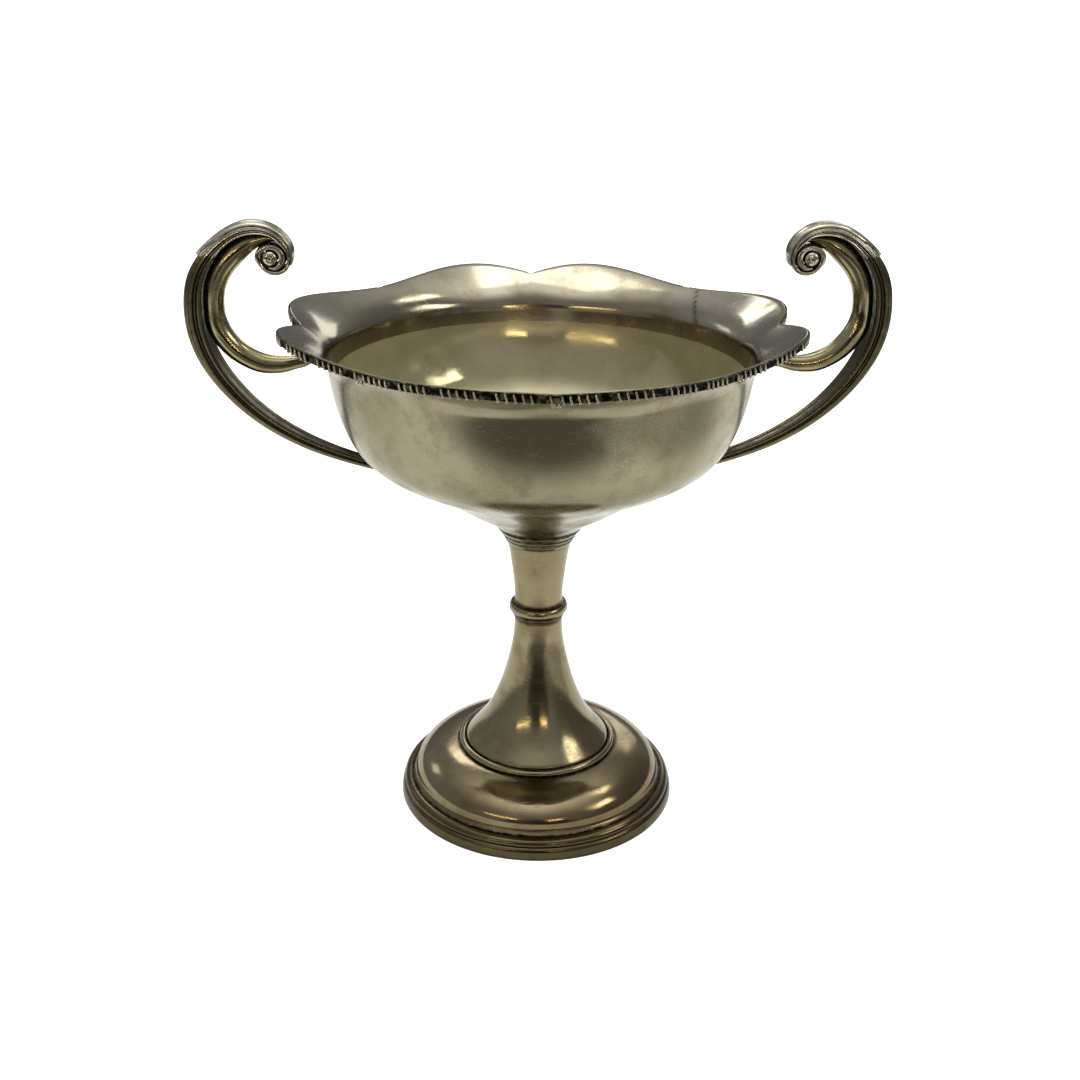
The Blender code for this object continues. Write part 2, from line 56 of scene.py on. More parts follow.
Material = bpy.types.Material
Piece = bpy.types.Object
Socket = bpy.types.NodeSocket
Tree = bpy.types.NodeTree


class Side(Enum):
    """The two handles, named as seen from the front."""

    RIGHT = "right"
    LEFT = "left"


def linear(code: str) -> tuple[float, float, float, float]:
    """Turn an sRGB hex colour into linear red, green, blue and alpha.

    Args:
        code: six hex digits.

    Returns:
        The linear colour.
    """
    shares = [int(code[i : i + 2], 16) / 255.0 for i in (0, 2, 4)]
    red, green, blue = (s / 12.92 if s <= 0.04045 else ((s + 0.055) / 1.055) ** 2.4 for s in shares)
    return red, green, blue, 1.0


def add_node(tree: Tree, kind: str, inputs: dict[str | int, Any] | None = None, output: str | int = 0,
             **settings: Any) -> Socket:
    """Add a node with its inputs and its settings.

    Args:
        tree: the node tree.
        kind: the node's type, without the ShaderNode that its name starts with.
        inputs: sockets by name or number, each with a value or with the output that it is linked to.
        output: the wanted output, by name or number.
        settings: attributes of the node.

    Returns:
        The wanted output.
    """
    node = tree.nodes.new("ShaderNode" + kind)
    for name, value in settings.items():
        setattr(node, name, value)
    for socket, value in (inputs or {}).items():
        if isinstance(value, Socket):
            tree.links.new(value, node.inputs[socket])
        else:
            node.inputs[socket].default_value = value
    return node.outputs[output]


def spline(points: Route, steps: int) -> Array:
    """Read evenly spaced points from a natural cubic curve through knots.

    Args:
        points: knots that start with their two plane coordinates, and may carry further values.
        steps: number of equal steps.

    Returns:
        One row for each point.
    """
    knots = np.array(points, dtype=float)
    t = np.concatenate([[0.0], np.cumsum(np.hypot(*np.diff(knots[:, :2], axis=0).T))])
    system, slopes = np.eye(len(t)), np.zeros_like(knots)
    for i in range(1, len(t) - 1):
        before, after = t[i] - t[i - 1], t[i + 1] - t[i]
        system[i, i - 1 : i + 2] = before, 2.0 * (before + after), after
        slopes[i] = 6.0 * ((knots[i + 1] - knots[i]) / after - (knots[i] - knots[i - 1]) / before)
    bends = np.linalg.solve(system, slopes)
    places = np.linspace(0.0, t[-1], steps + 1)
    i = np.clip(np.searchsorted(t, places, side="right") - 1, 0, len(t) - 2)
    span = (t[i + 1] - t[i])[:, None]
    a, b = (t[i + 1] - places)[:, None] / span, (places - t[i])[:, None] / span
    return a * knots[i] + b * knots[i + 1] + ((a**3 - a) * bends[i] + (b**3 - b) * bends[i + 1]) * span**2 / 6.0


def polar(places: Array) -> tuple[Array, Array]:
    """Return the distances of places from the Z axis and their angles around it."""
    return np.hypot(places[:, 0], places[:, 1]), np.arctan2(places[:, 1], places[:, 0])


def bell(apart: Array, reach: float) -> Array:
    """Return shares that fall off from 1 on both sides of zero, in the shape of a bell."""
    return np.exp(-((apart / reach) ** 2))


def deselect() -> None:
    """Leave edit mode and select nothing."""
    if bpy.context.object and bpy.context.object.mode == "EDIT":
        bpy.ops.object.mode_set(mode="OBJECT")
    bpy.ops.object.select_all(action="DESELECT")


def pick(piece: Piece) -> None:
    """Make a piece the only one that is selected, and the active one."""
    deselect()
    piece.select_set(True)
    bpy.context.view_layer.objects.active = piece


def apply_modifier(piece: Piece, kind: str, **settings: Any) -> None:
    """Add a modifier to a piece and apply it."""
    pick(piece)
    modifier = piece.modifiers.new(kind.lower(), kind)
    for name, value in settings.items():
        setattr(modifier, name, value)
    bpy.ops.object.modifier_apply(modifier=modifier.name)


def places_of(piece: Piece) -> Array:
    """Return the piece's points in millimetres, one row each."""
    flat = np.empty(3 * len(piece.data.vertices))
    piece.data.vertices.foreach_get("co", flat)
    return flat.reshape(-1, 3) / MM


def reshape(piece: Piece, rule: Rule) -> None:
    """Move the points of a piece to where a rule puts them, in millimetres."""
    piece.data.vertices.foreach_set("co", (rule(places_of(piece)) * MM).ravel())
    piece.data.update()


def paint(piece: Piece, layer: str, rule: Rule) -> None:
    """Write a rule's value at every point into a named layer, which the finish reads."""
    shares = np.clip(rule(places_of(piece)), 0.0, 1.0).astype(np.float32)
    if layer not in piece.data.attributes:
        piece.data.attributes.new(layer, "FLOAT", "POINT")
    piece.data.attributes[layer].data.foreach_set("value", shares)


def close_seams(piece: Piece, capped: bool = False) -> None:
    """Merge the doubles of a piece, cap its open ends if asked to, and turn its faces outwards."""
    pick(piece)
    bpy.ops.object.mode_set(mode="EDIT")
    bpy.ops.mesh.select_all(action="SELECT")
    bpy.ops.mesh.remove_doubles(threshold=SEAM_MM * MM)
    if capped:
        bpy.ops.mesh.fill_holes(sides=0)
    bpy.ops.mesh.normals_make_consistent(inside=False)
    bpy.ops.object.mode_set(mode="OBJECT")


def smooth(piece: Piece, angle: float) -> None:
    """Shade a piece smooth up to an angle in degrees."""
    pick(piece)
    bpy.ops.object.shade_smooth_by_angle(angle=math.radians(angle))


def turn(outline: Route, segments: int) -> Piece:
    """Draw an outline beside the Z axis point by point and spin it once around.

    Args:
        outline: radius and height of each point, in millimetres.
        segments: steps around the axis.

    Returns:
        The turned piece.
    """
    deselect()
    bpy.ops.mesh.primitive_plane_add(size=MM)
    piece = bpy.context.object
    bpy.ops.object.mode_set(mode="EDIT")
    bpy.ops.mesh.merge(type="CENTER")
    bpy.ops.transform.translate(value=(outline[0][0] * MM, 0.0, outline[0][1] * MM))
    for before, after in zip(outline, outline[1:]):
        step = ((after[0] - before[0]) * MM, 0.0, (after[1] - before[1]) * MM)
        bpy.ops.mesh.extrude_vertices_move(TRANSFORM_OT_translate={"value": step})
    bpy.ops.mesh.select_all(action="SELECT")
    bpy.ops.mesh.spin(steps=segments, angle=math.tau, center=(0.0, 0.0, 0.0), axis=(0.0, 0.0, 1.0))
    bpy.ops.object.mode_set(mode="OBJECT")
    close_seams(piece)
    return piece


def wrap(rings: Array) -> Piece:
    """Lay a grid round a row of closed sections and cap its ends.

    Args:
        rings: places in millimetres, by station and by point of the section.

    Returns:
        The closed piece.
    """
    stations, points = rings.shape[:2]
    looped = np.concatenate([rings, rings[:, :1]], axis=1)
    deselect()
    bpy.ops.mesh.primitive_grid_add(x_subdivisions=stations - 1, y_subdivisions=points, size=2.0)
    piece = bpy.context.object

    def lay(flat: Array) -> Array:
        """Put each point of the grid on its station and its place in the section."""
        unit = flat * MM
        i = np.rint((unit[:, 0] + 1.0) / 2.0 * (stations - 1)).astype(int)
        j = np.rint((unit[:, 1] + 1.0) / 2.0 * points).astype(int)
        return looped[i, j]

    reshape(piece, lay)
    close_seams(piece, capped=True)
    return piece


def ball(centre: Sequence[float], radius: float, segments: int, rings: int) -> Piece:
    """Return a ball of a radius and at a place in millimetres."""
    deselect()
    bpy.ops.mesh.primitive_uv_sphere_add(segments=segments, ring_count=rings, radius=radius * MM,
                                         location=[number * MM for number in centre])
    bpy.ops.object.transform_apply(location=True)
    return bpy.context.object


def join(pieces: Sequence[Piece]) -> Piece:
    """Join several meshes into the first one."""
    pick(pieces[0])
    for piece in pieces:
        piece.select_set(True)
    bpy.ops.object.join()
    return pieces[0]


def placed_copy(piece: Piece, shift: Sequence[float] = (0.0, 0.0, 0.0), turned: float = 0.0,
                mirrored: bool = False) -> Piece:
    """Copy a piece with its own mesh to another place.

    Args:
        piece: the model to copy.
        shift: move in millimetres.
        turned: turn around the Z axis in radians.
        mirrored: whether the copy is flipped to the other side in X.

    Returns:
        The copy, with its place in its mesh.
    """
    copy = piece.copy()
    copy.data = piece.data.copy()
    bpy.context.scene.collection.objects.link(copy)
    pick(copy)
    copy.location = [number * MM for number in shift]
    copy.rotation_euler = (0.0, 0.0, turned)
    copy.scale = (-1.0 if mirrored else 1.0, 1.0, 1.0)
    bpy.ops.object.transform_apply(location=True, rotation=True, scale=True)
    if mirrored:
        close_seams(copy)
    return copy


def dress(piece: Piece, name: str, slot: str, finishes: Sequence[PlateFinish], *nodes: str) -> None:
    """Name a piece, put its finishes on and let it stand for its CAD nodes.

    Args:
        piece: the finished mesh.
        name: its name in the scene.
        slot: the record's material slot; not used.
        finishes: one for each material index of the mesh.
        nodes: the CAD nodes that it replaces.
    """
    piece.name = piece.data.name = name
    for layer in ("soot_and_shade", "stain_and_dark_reflection"):
        if layer not in piece.data.attributes:
            piece.data.attributes.new(layer, "FLOAT", "POINT")
    piece.data.materials.clear()
    for finish in finishes:
        piece.data.materials.append(finish.material())
    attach(piece, "root")
    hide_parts(*nodes)
    LOG.info("%s: %d faces, stands for %s", name, len(piece.data.polygons), ", ".join(nodes))


@dataclass(frozen=True)
class PlateFinish:
    """Silver electroplate on nickel brass, polished by hand for years and tarnished olive to brown.

    The eye gets soft, slightly wavy reflections in a warm grey, cloudy brown patches, fine hairlines from polishing
    and black soot where the cloth never reaches, with painted shade and a painted dark reflection laid into its
    layers.
    """

    name: str
    metal: str
    bloom: str
    stain_and_dark_reflection: str
    # colour of the soot and of the painted shade that shares its layer
    soot_and_shade: str = "15130E"
    roughness: float = 0.24
    metallic: float = 1.0  # less where a dull film lies on the metal
    stain_cover: float = 0.5
    wave_mm: float = 0.5  # height of the waves that hand work leaves
    wave_length_mm: float = 45.0
    spin_mark_mm: float = 0.012  # depth of the marks of spinning, zero on castings

    def material(self) -> Material:
        """Return the finish's material, made at its first use."""
        if self.name in bpy.data.materials:
            return bpy.data.materials[self.name]
        material = bpy.data.materials.new(self.name)
        material.use_nodes = True
        tree = material.node_tree
        shader = tree.nodes["Principled BSDF"]
        shader.inputs["Metallic"].default_value = self.metallic
        place = add_node(tree, "TexCoord", output="Object")
        soot_and_shade = self.soot_and_shade_share(tree, place)
        clouds, mottle = self.clouds(tree, place)
        hairlines = self.hairlines(tree, place)
        tree.links.new(self.colour(tree, clouds, mottle, soot_and_shade), shader.inputs["Base Color"])
        tree.links.new(self.gloss(tree, mottle, soot_and_shade, hairlines), shader.inputs["Roughness"])
        tree.links.new(self.relief(tree, place, hairlines), shader.inputs["Normal"])
        return material

    def soot_and_shade_share(self, tree: Tree, place: Socket) -> Socket:
        """Return the share of soot and painted shade: the painted layer, frayed by a 3 mm noise."""
        layer = add_node(tree, "Attribute", None, "Fac", attribute_name="soot_and_shade")
        fray = add_node(tree, "TexNoise", {"Vector": place, "Scale": 330.0, "Detail": 3.0})
        spread = add_node(tree, "MapRange", {"Value": fray, 1: 0.3, 2: 0.7, 3: 0.65, 4: 1.35})
        return add_node(tree, "Math", {0: layer, 1: spread}, operation="MULTIPLY", use_clamp=True)

    def clouds(self, tree: Tree, place: Socket) -> tuple[Socket, ...]:
        """Return the wide clouds of the tarnish, 60 mm across, and its mottling, 15 mm across."""
        wide = add_node(tree, "TexNoise", {"Vector": place, "Scale": 16.0, "Detail": 3.0, "Distortion": 0.4})
        fine = add_node(tree, "TexNoise", {"Vector": place, "Scale": 65.0, "Detail": 7.0, "Roughness": 0.62})
        return tuple(add_node(tree, "MapRange", {"Value": noise, 1: low, 2: high}, interpolation_type="SMOOTHSTEP")
                     for noise, low, high in ((wide, 0.35, 0.68), (fine, 0.42, 0.74)))

    def colour(self, tree: Tree, clouds: Socket, mottle: Socket, soot_and_shade: Socket) -> Socket:
        """Return the metal's colour: clouds of bloom, brown mottling, stains and painted dark reflection, then soot
        and painted shade.
        """
        painted = add_node(tree, "Attribute", None, "Fac", attribute_name="stain_and_dark_reflection")
        cover = add_node(tree, "Math", {0: mottle, 1: self.stain_cover}, operation="MULTIPLY")
        spread = add_node(tree, "MapRange", {"Value": mottle, 3: 0.35, 4: 1.0})
        broken = add_node(tree, "Math", {0: painted, 1: spread}, operation="MULTIPLY")
        stains_and_dark_reflection = add_node(tree, "Math", {0: cover, 1: broken}, operation="MAXIMUM")
        colour = linear(self.metal)
        for share, over in ((clouds, self.bloom), (stains_and_dark_reflection, self.stain_and_dark_reflection), (soot_and_shade, self.soot_and_shade)):
            colour = add_node(tree, "Mix", {0: share, 6: colour, 7: linear(over)}, 2, data_type="RGBA")
        return colour

    def hairlines(self, tree: Tree, place: Socket) -> Socket:
        """Return two crossing sets of polishing hairlines, drawn 0.5 mm wide so that they show in the render."""
        sets = []
        for turned, low in (((0.5, 0.9, 0.2), 0.66), ((-0.7, 0.3, 1.1), 0.69)):
            drawn = add_node(tree, "Mapping", {"Vector": place, "Rotation": turned, "Scale": (40.0, 900.0, 900.0)})
            noise = add_node(tree, "TexNoise", {"Vector": drawn, "Scale": 1.0, "Detail": 1.0})
            sets.append(add_node(tree, "MapRange", {"Value": noise, 1: low, 2: low + 0.05}))
        return add_node(tree, "Math", {0: sets[0], 1: sets[1]}, operation="MAXIMUM")

    def gloss(self, tree: Tree, mottle: Socket, soot_and_shade: Socket, hairlines: Socket) -> Socket:
        """Return the roughness: duller on stains, soot, painted shade and hairlines."""
        low, high = self.roughness * 0.85, self.roughness + 0.12
        stained = add_node(tree, "MapRange", {"Value": mottle, 3: low, 4: high})
        lined = add_node(tree, "Math", {0: hairlines, 1: 0.08, 2: stained}, operation="MULTIPLY_ADD")
        return add_node(tree, "Math", {0: soot_and_shade, 1: 0.35, 2: lined}, operation="MULTIPLY_ADD", use_clamp=True)

    def relief(self, tree: Tree, place: Socket, hairlines: Socket) -> Socket:
        """Return the normal: waves left by hand work, marks of spinning every millimetre, and hairlines."""
        scale = 1.0 / (self.wave_length_mm * MM)
        waves = add_node(tree, "TexNoise", {"Vector": place, "Scale": scale, "Detail": 1.5})
        normal = add_node(tree, "Bump", {"Strength": 1.0, "Distance": self.wave_mm * MM, "Height": waves})
        if self.spin_mark_mm > 0.0:
            x, y, z = add_node(tree, "SeparateXYZ", {0: place}).node.outputs
            flat = add_node(tree, "CombineXYZ", {0: x, 1: y})
            radius = add_node(tree, "VectorMath", {0: flat}, "Value", operation="LENGTH")
            ring = add_node(tree, "CombineXYZ", {0: radius, 1: z})
            marks = add_node(tree, "TexNoise", {"Vector": ring, "Scale": 1000.0, "Detail": 2.0})
            normal = add_node(tree, "Bump", {"Strength": 1.0, "Distance": self.spin_mark_mm * MM, "Height": marks,
                                             "Normal": normal})
        return add_node(tree, "Bump", {"Strength": 0.5, "Distance": 0.01 * MM, "Height": hairlines, "Normal": normal},
                        invert=True)


OUTSIDE = PlateFinish("spun_silver_plate_outside", "9A947C", "8B866B", "6F654A", stain_cover=0.45)
# The flare's stain colour also paints the dark reflection at the foot of the flare.
FLARE = PlateFinish("spun_silver_plate_flare", "A6A190", "968F7C", "4C4232", roughness=0.15, stain_cover=0.4,
                    wave_mm=0.7, spin_mark_mm=0.004)
# The wall's plate is lighter and yellower than the flare's: its own olive tarnish with painted light.
INSIDE = PlateFinish("spun_silver_plate_inside", "B5AF8D", "A69F7F", "7F7450", roughness=0.12, metallic=0.5,
                     stain_cover=0.35, wave_mm=0.7, spin_mark_mm=0.004)
STEM = PlateFinish("turned_silver_plate_stem", "9A9074", "897F63", "755F42", roughness=0.22)
TRUMPET = PlateFinish("spun_silver_plate_trumpet", "8F876C", "7F755B", "645036", roughness=0.17, wave_mm=0.3)
FOOT = PlateFinish("spun_silver_plate_foot", "8E836A", "7A6E52", "5C472C", roughness=0.16, wave_mm=0.35)
EDGE = replace(FOOT, name="turned_silver_plate_edge", metal="645A43", bloom="544B36", stain_and_dark_reflection="3E3222")
HANDLE = PlateFinish("cast_silver_plate_handle", "A69D7C", "8D8362", "62533A", roughness=0.18, spin_mark_mm=0.0,
                     wave_mm=0.25, wave_length_mm=14.0)
# A lighter copy of the handle's plate for the roll, leaf, pin and strap top, and a darker one for the strap below the
# leaf.
HANDLE_LIGHTER = replace(HANDLE, name="cast_silver_plate_lighter", metal="CFCABA", bloom="BDB7A3", stain_and_dark_reflection="84765A")
HANDLE_DARKER = replace(HANDLE, name="cast_silver_plate_darker", metal="7A7357", bloom="645D44", stain_and_dark_reflection="4A4330")
BORDER = replace(HANDLE, name="cast_silver_plate_border", metal="C8C2AC", bloom="AAA38A", roughness=0.3)


@dataclass
class LobedBowl:
    """Spun bowl whose flared edge is pushed out into eight lobes. Sizes in millimetres.

    Each lobe is fuller towards the notch at its axis (X or Y) and runs out slackly towards the diagonal.
    """

    lobes: int = 8
    notch: Point = (120.4, 267.0)
    bulge: float = 11.1
    rise: float = 4.2
    fullness: float = 1.1
    skew: float = 1.6
    slackening: float = 1.4  # how far the notches smooth out down to the wall
    seat: Point = (22.4, 160.3)
    side: Route = ((24.6, 162.6), (29.2, 166), (35.7, 170), (43.4, 175), (51.9, 180.8), (64.2, 188.2),
                   (80.6, 196.8), (94, 207.8), (101.3, 222), (105.6, 238), (107.6, 252))
    side_steps: int = 44
    control: Point = (109.6, 260.5)
    wall: float = 1.3
    wall_top: float = 244.5  # height up to which the inside has the wall's lighter finish, partly painted light
    rows: int = 16
    segments: int = 384
    lip_radius: float = 0.35
    border_shade: Point = (5.0, 0.85)  # painted shadow that the border casts: its reach below the edge and its depth of colour
    seat_soot: tuple[float, ...] = (22.6, 164.0, 1.2, 0.9)  # radius, top, reach and depth of colour
    # a thin dark line painted slanting down the flare at the back right
    dark_line: tuple[float, float, float] = (34.0, 7.0, 1.25)  # degrees at its foot, degrees that it slants, width
    dark_line_heights: tuple[float, float] = (252.0, 17.0)  # its foot and its length upwards
    band: Point = (249.5, 5.5)  # height and reach of the painted dark reflection, a brown band where the flare starts
    spots: Route = ((88, 40, 226, 20, 0.8), (70, 62, 240, 17, 0.8), (96, -10, 235, 16, 0.6),
                    (30, 96, 244, 16, 0.5), (-40, 84, 236, 14, 0.3))  # place, reach, depth of colour

    def wall_line(self) -> list[tuple[float, ...]]:
        """Return the outer line of the wall, from the seat up to the flare."""
        return [self.seat, *(tuple(point) for point in spline(self.side, self.side_steps))]

    def rim_edge(self, angle: Array, slack: float | Array = 0.0) -> Array:
        """Return radius and height of the rim's edge, or of what it fades to below.

        Args:
            angle: angles around the axis.
            slack: 0 at the edge, and up to 1 where the notches have smoothed out below it.

        Returns:
            One row for each angle.
        """
        share = np.abs(np.mod(angle * self.lobes / math.tau, 2.0) - 1.0)
        swell = np.clip(np.sin(math.pi * share**self.skew), 0.0, 1.0) ** (self.fullness + slack)
        return np.stack([self.notch[0] + self.bulge * swell, self.notch[1] + self.rise * swell], axis=-1)

    def push_out(self, places: Array) -> Array:
        """Move the rows above the wall onto the flare, which is a quadratic curve out to the lobed edge."""
        share = places[:, 2] - self.side[-1][1]
        _, angle = polar(places)
        rise = np.clip(share / self.rows, 0.0, 1.0)
        t = rise[:, None]
        flare = ((1.0 - t) ** 2 * np.array(self.side[-1]) + 2.0 * t * (1.0 - t) * np.array(self.control)
                 + t**2 * self.rim_edge(angle, self.slackening * (1.0 - rise)))
        pushed = np.stack([flare[:, 0] * np.cos(angle), flare[:, 0] * np.sin(angle), flare[:, 1]], axis=-1)
        return np.where((share > 0.01)[:, None], pushed, places)

    def shade_and_soot_outside(self, places: Array) -> Array:
        """Return the painted shadow under the border and the soot at the seat."""
        radius, angle = polar(places)
        edge = self.rim_edge(angle)
        below = np.hypot(edge[:, 0] - radius, edge[:, 1] - places[:, 2])
        # painted shadow below the border
        reach, depth = self.border_shade
        border = depth * bell(below, reach)
        ring, top, reach, depth = self.seat_soot
        return np.maximum(border, depth * bell(radius - ring, reach) * (places[:, 2] < top))

    def dark_line_inside(self, places: Array) -> Array:
        """Return a thin dark line at the back right, which runs slanting down the flare."""
        foot, length = self.dark_line_heights
        start, slant, width = self.dark_line
        radius, angle = polar(places)
        rise = np.clip((places[:, 2] - foot) / length, 0.0, 1.0)
        beside = np.radians(np.degrees(angle) - start - slant * rise) * radius
        fade = np.clip((places[:, 2] - foot + 1.0) / 3.0, 0.0, 1.0)
        return 0.8 * bell(beside, width) * fade

    def stains_and_dark_reflection_inside(self, places: Array) -> Array:
        """Return the painted dark reflection, a brown band deepest at the back, and the stains below it."""
        height, reach = self.band
        # the painted dark reflection is deepest at the back
        behind = np.clip(0.5 + places[:, 1] / 160.0, 0.0, 1.0)
        share = 0.95 * behind * bell(places[:, 2] - height, reach)
        for *centre, reach, depth in self.spots:
            apart = np.linalg.norm(places - np.array(centre), axis=1)
            share = np.maximum(share, depth * bell(apart, reach))
        return share

    def build(self) -> None:
        """Spin the wall, push out the lobes, give the sheet its thickness, round its lip and finish its sides."""
        outline = [(0.0, self.seat[1]), (11.0, self.seat[1]), *self.wall_line()]
        outline += [(self.side[-1][0], self.side[-1][1] + row) for row in range(1, self.rows + 1)]
        bowl = turn(outline, self.segments)
        reshape(bowl, self.push_out)
        lowest = min(bowl.data.polygons, key=lambda face: face.center.z)
        if lowest.normal.z > 0.0:
            bowl.data.flip_normals()
        outer = len(bowl.data.vertices)
        for _ in range(3):
            bowl.data.materials.append(None)
        apply_modifier(bowl, "SOLIDIFY", thickness=self.wall * MM, offset=-1.0, material_offset=1,
                       material_offset_rim=0)
        # Outside: painted shadow under the border and soot at the seat; inside: a thin dark line.
        paint(bowl, "soot_and_shade", lambda p: np.concatenate([self.shade_and_soot_outside(p[:outer]), self.dark_line_inside(p[outer:])]))
        # Inside: its stains and the painted dark reflection at the foot of the flare.
        paint(bowl, "stain_and_dark_reflection", lambda p: np.concatenate([np.zeros(outer), self.stains_and_dark_reflection_inside(p[outer:])]))
        apply_modifier(bowl, "BEVEL", width=self.lip_radius * MM, segments=2, limit_method="ANGLE",
                       angle_limit=math.radians(50.0))
        smooth(bowl, 50.0)
        faces = len(bowl.data.polygons)
        indices, centres = np.empty(faces, dtype=np.int32), np.empty(3 * faces)
        bowl.data.polygons.foreach_get("material_index", indices)
        bowl.data.polygons.foreach_get("center", centres)
        indices[(indices == 1) & (centres[2::3] < self.wall_top * MM)] = 2
        dress(bowl, "lobed_bowl_sheet", "bowl_plate", (OUTSIDE, FLARE, INSIDE), "bowl")
        bowl.data.polygons.foreach_set("material_index", indices)


@dataclass
class GadroonBorder:
    """Cast border over the lip of the lobes: a band, black with soot and painted shade, crossed by slanting ridges.
    Sizes in mm.
    """

    bowl: LobedBowl
    end_share: float = 0.022
    end_gap: float = 0.6
    groups: int = 4
    ridges: int = 5
    pitch: float = 3.75
    slant: float = 16.0  # degrees
    ridge_half: tuple[float, float, float] = (0.62, 0.75, 1.9)
    ridge_height: float = -1.35
    knob: tuple[float, float, float] = (0.5, -0.05, -3.3)
    knob_radius: float = 0.72
    black_band: Point = (-3.2, 0.9)  # heights between which the strip is black: soot with painted shade in its recess
    rail_stations: int = 97
    section: Route = ((-3, -1.7), (-0.3, -0.1), (0, 0.85), (0.35, 0.95), (0.6, 0.7), (0.5, 0.4), (0.1, 0.15),
                      (-0.25, -0.5), (-0.35, -1.4), (-0.25, -2.3), (0, -2.75), (0.05, -3.1), (-0.3, -3.45),
                      (-1.2, -3.6), (-2.4, -2.9))  # outwards and up from the rim's edge
    bead: tuple[float, float, float] = (120.5, 1.15, 263.0)
    bead_radius: float = 1.1
    wedge: tuple[tuple[Point, Point], ...] = (((115.2, 262.6), (120.3, 266.6)), ((117.4, 262.2), (120.5, 263.0)))
    wedge_half_widths: Point = (2.2, 1.2)  # of its top and of its foot

    def path(self, lobe: int) -> tuple[Array, Array, Array]:
        """Return the edge of a lobe: lengths along it, places and outward directions."""
        step = math.tau / self.bowl.lobes
        angles = np.linspace(lobe * step, (lobe + 1) * step, 1601)
        rim = self.bowl.rim_edge(angles)
        places = np.stack([rim[:, 0] * np.cos(angles), rim[:, 0] * np.sin(angles), rim[:, 1]], axis=-1)
        lengths = np.concatenate([[0.0], np.cumsum(np.linalg.norm(np.diff(places, axis=0), axis=1))])
        along = np.gradient(places[:, :2], axis=0)
        along /= np.linalg.norm(along, axis=1)[:, None]
        outwards = np.stack([along[:, 1], -along[:, 0], np.zeros(len(angles))], axis=-1)
        return lengths, places, outwards

    def bend(self, straight: Array, lobe: int) -> Array:
        """Carry points from the straight drawing (along, outwards, up) to the edge of a lobe."""
        lengths, places, outwards = self.path(lobe)

        def read(table: Array) -> Array:
            """Read a table's three columns at the lengths along the border."""
            return np.stack([np.interp(straight[:, 0], lengths, table[:, k]) for k in range(3)], axis=-1)

        lifted = np.zeros_like(straight)
        lifted[:, 2] = straight[:, 2]
        return read(places) + read(outwards) * straight[:, 1:2] + lifted

    def rail(self, start: float, end: float) -> Piece:
        """Draw the band straight, black with soot and painted shade below its bright upper edge."""
        stations = np.linspace(start, end, self.rail_stations)
        rail = wrap(np.array([[(x, out, up) for out, up in self.section] for x in stations]))
        low, high = self.black_band
        paint(rail, "soot_and_shade", lambda p: np.where((p[:, 2] < high) & (p[:, 2] > low), 1.0, 0.5))
        return rail

    def ridge(self) -> Piece:
        """Shape one slanting ridge with the bright knob at its foot."""
        middle = (0.0, 0.0, self.ridge_height * MM)
        deselect()
        bpy.ops.mesh.primitive_uv_sphere_add(segments=10, ring_count=8, radius=MM)
        ridge = bpy.context.object
        bpy.ops.object.mode_set(mode="EDIT")
        bpy.ops.transform.resize(value=self.ridge_half, center_override=(0.0, 0.0, 0.0))
        bpy.ops.transform.translate(value=(0.0, 0.02 * MM, self.ridge_height * MM))
        bpy.ops.transform.rotate(value=math.radians(self.slant), orient_axis="Y", center_override=middle)
        ridge = join([ridge, ball(self.knob, self.knob_radius, 10, 6)])
        paint(ridge, "soot_and_shade", lambda p: np.clip((0.1 - p[:, 1]) * 1.4, 0.0, 0.9))
        return ridge

    def build(self) -> None:
        """Lay out a border, bend it to the two kinds of lobe and copy them around."""
        length = self.path(0)[0][-1]
        start, end = self.end_share * length, (1.0 - self.end_share) * length
        model = self.ridge()
        group = (end - start - 2.0 * self.end_gap) / self.groups
        places = [start + self.end_gap + g * group + k * self.pitch
                  for g in range(self.groups) for k in range(self.ridges)]
        ridges = [placed_copy(model, (x, 0.0, 0.0)) for x in [*places, end - self.end_gap]]
        bpy.data.objects.remove(model, do_unlink=True)
        straight = join([self.rail(start, end), *ridges])
        for kind in (0, 1):
            border = placed_copy(straight)
            reshape(border, lambda places: self.bend(places, kind))
            smooth(border, 60.0)
            for lobe in range(kind, self.bowl.lobes, 2):
                copy = placed_copy(border, turned=(lobe - kind) * math.tau / self.bowl.lobes)
                dress(copy, f"gadroon_border_{lobe + 1}", "border_plate", (BORDER,), f"rim_border_{lobe + 1}")
            bpy.data.objects.remove(border, do_unlink=True)
        bpy.data.objects.remove(straight, do_unlink=True)
        self.build_beads()

    def build_beads(self) -> None:
        """Model the pair of beads with its wedge at +X and copy it to the six notches without a handle."""
        deselect()
        bpy.ops.mesh.primitive_cube_add(size=2.0 * MM)
        wedge = bpy.context.object

        def lean(places: Array) -> Array:
            """Lean the block under the flare."""
            rows = []
            for outer, side, upper in np.sign(places):
                low = int(upper < 0.0)
                px, pz = self.wedge[low][int(outer > 0.0)]
                rows.append((px, side * self.wedge_half_widths[low], pz))
            return np.array(rows)

        reshape(wedge, lean)
        apply_modifier(wedge, "BEVEL", width=0.4 * MM, segments=2, affect="EDGES")
        x, apart, z = self.bead
        parts = [wedge, *(ball((x, y, z), self.bead_radius, 16, 10) for y in (-apart, apart))]
        beads = join(parts)
        paint(beads, "soot_and_shade", lambda p: np.where(p[:, 2] > 264.0, 0.95, np.clip((120.0 - p[:, 0]) * 0.8, 0.0, 0.9)))
        smooth(beads, 60.0)
        number = 0
        for notch in range(self.bowl.lobes):
            if notch % (self.bowl.lobes // 2):
                number += 1
                copy = placed_copy(beads, turned=notch * math.tau / self.bowl.lobes)
                dress(copy, f"notch_beads_{number}", "border_plate", (BORDER,), f"notch_drop_{number}")
        bpy.data.objects.remove(beads, do_unlink=True)


@dataclass(frozen=True)
class Groove:
    """A sooty groove of a turned piece: its radius, height, reach and depth of colour."""

    radius: float
    height: float
    reach: float = 0.8
    depth: float = 0.9


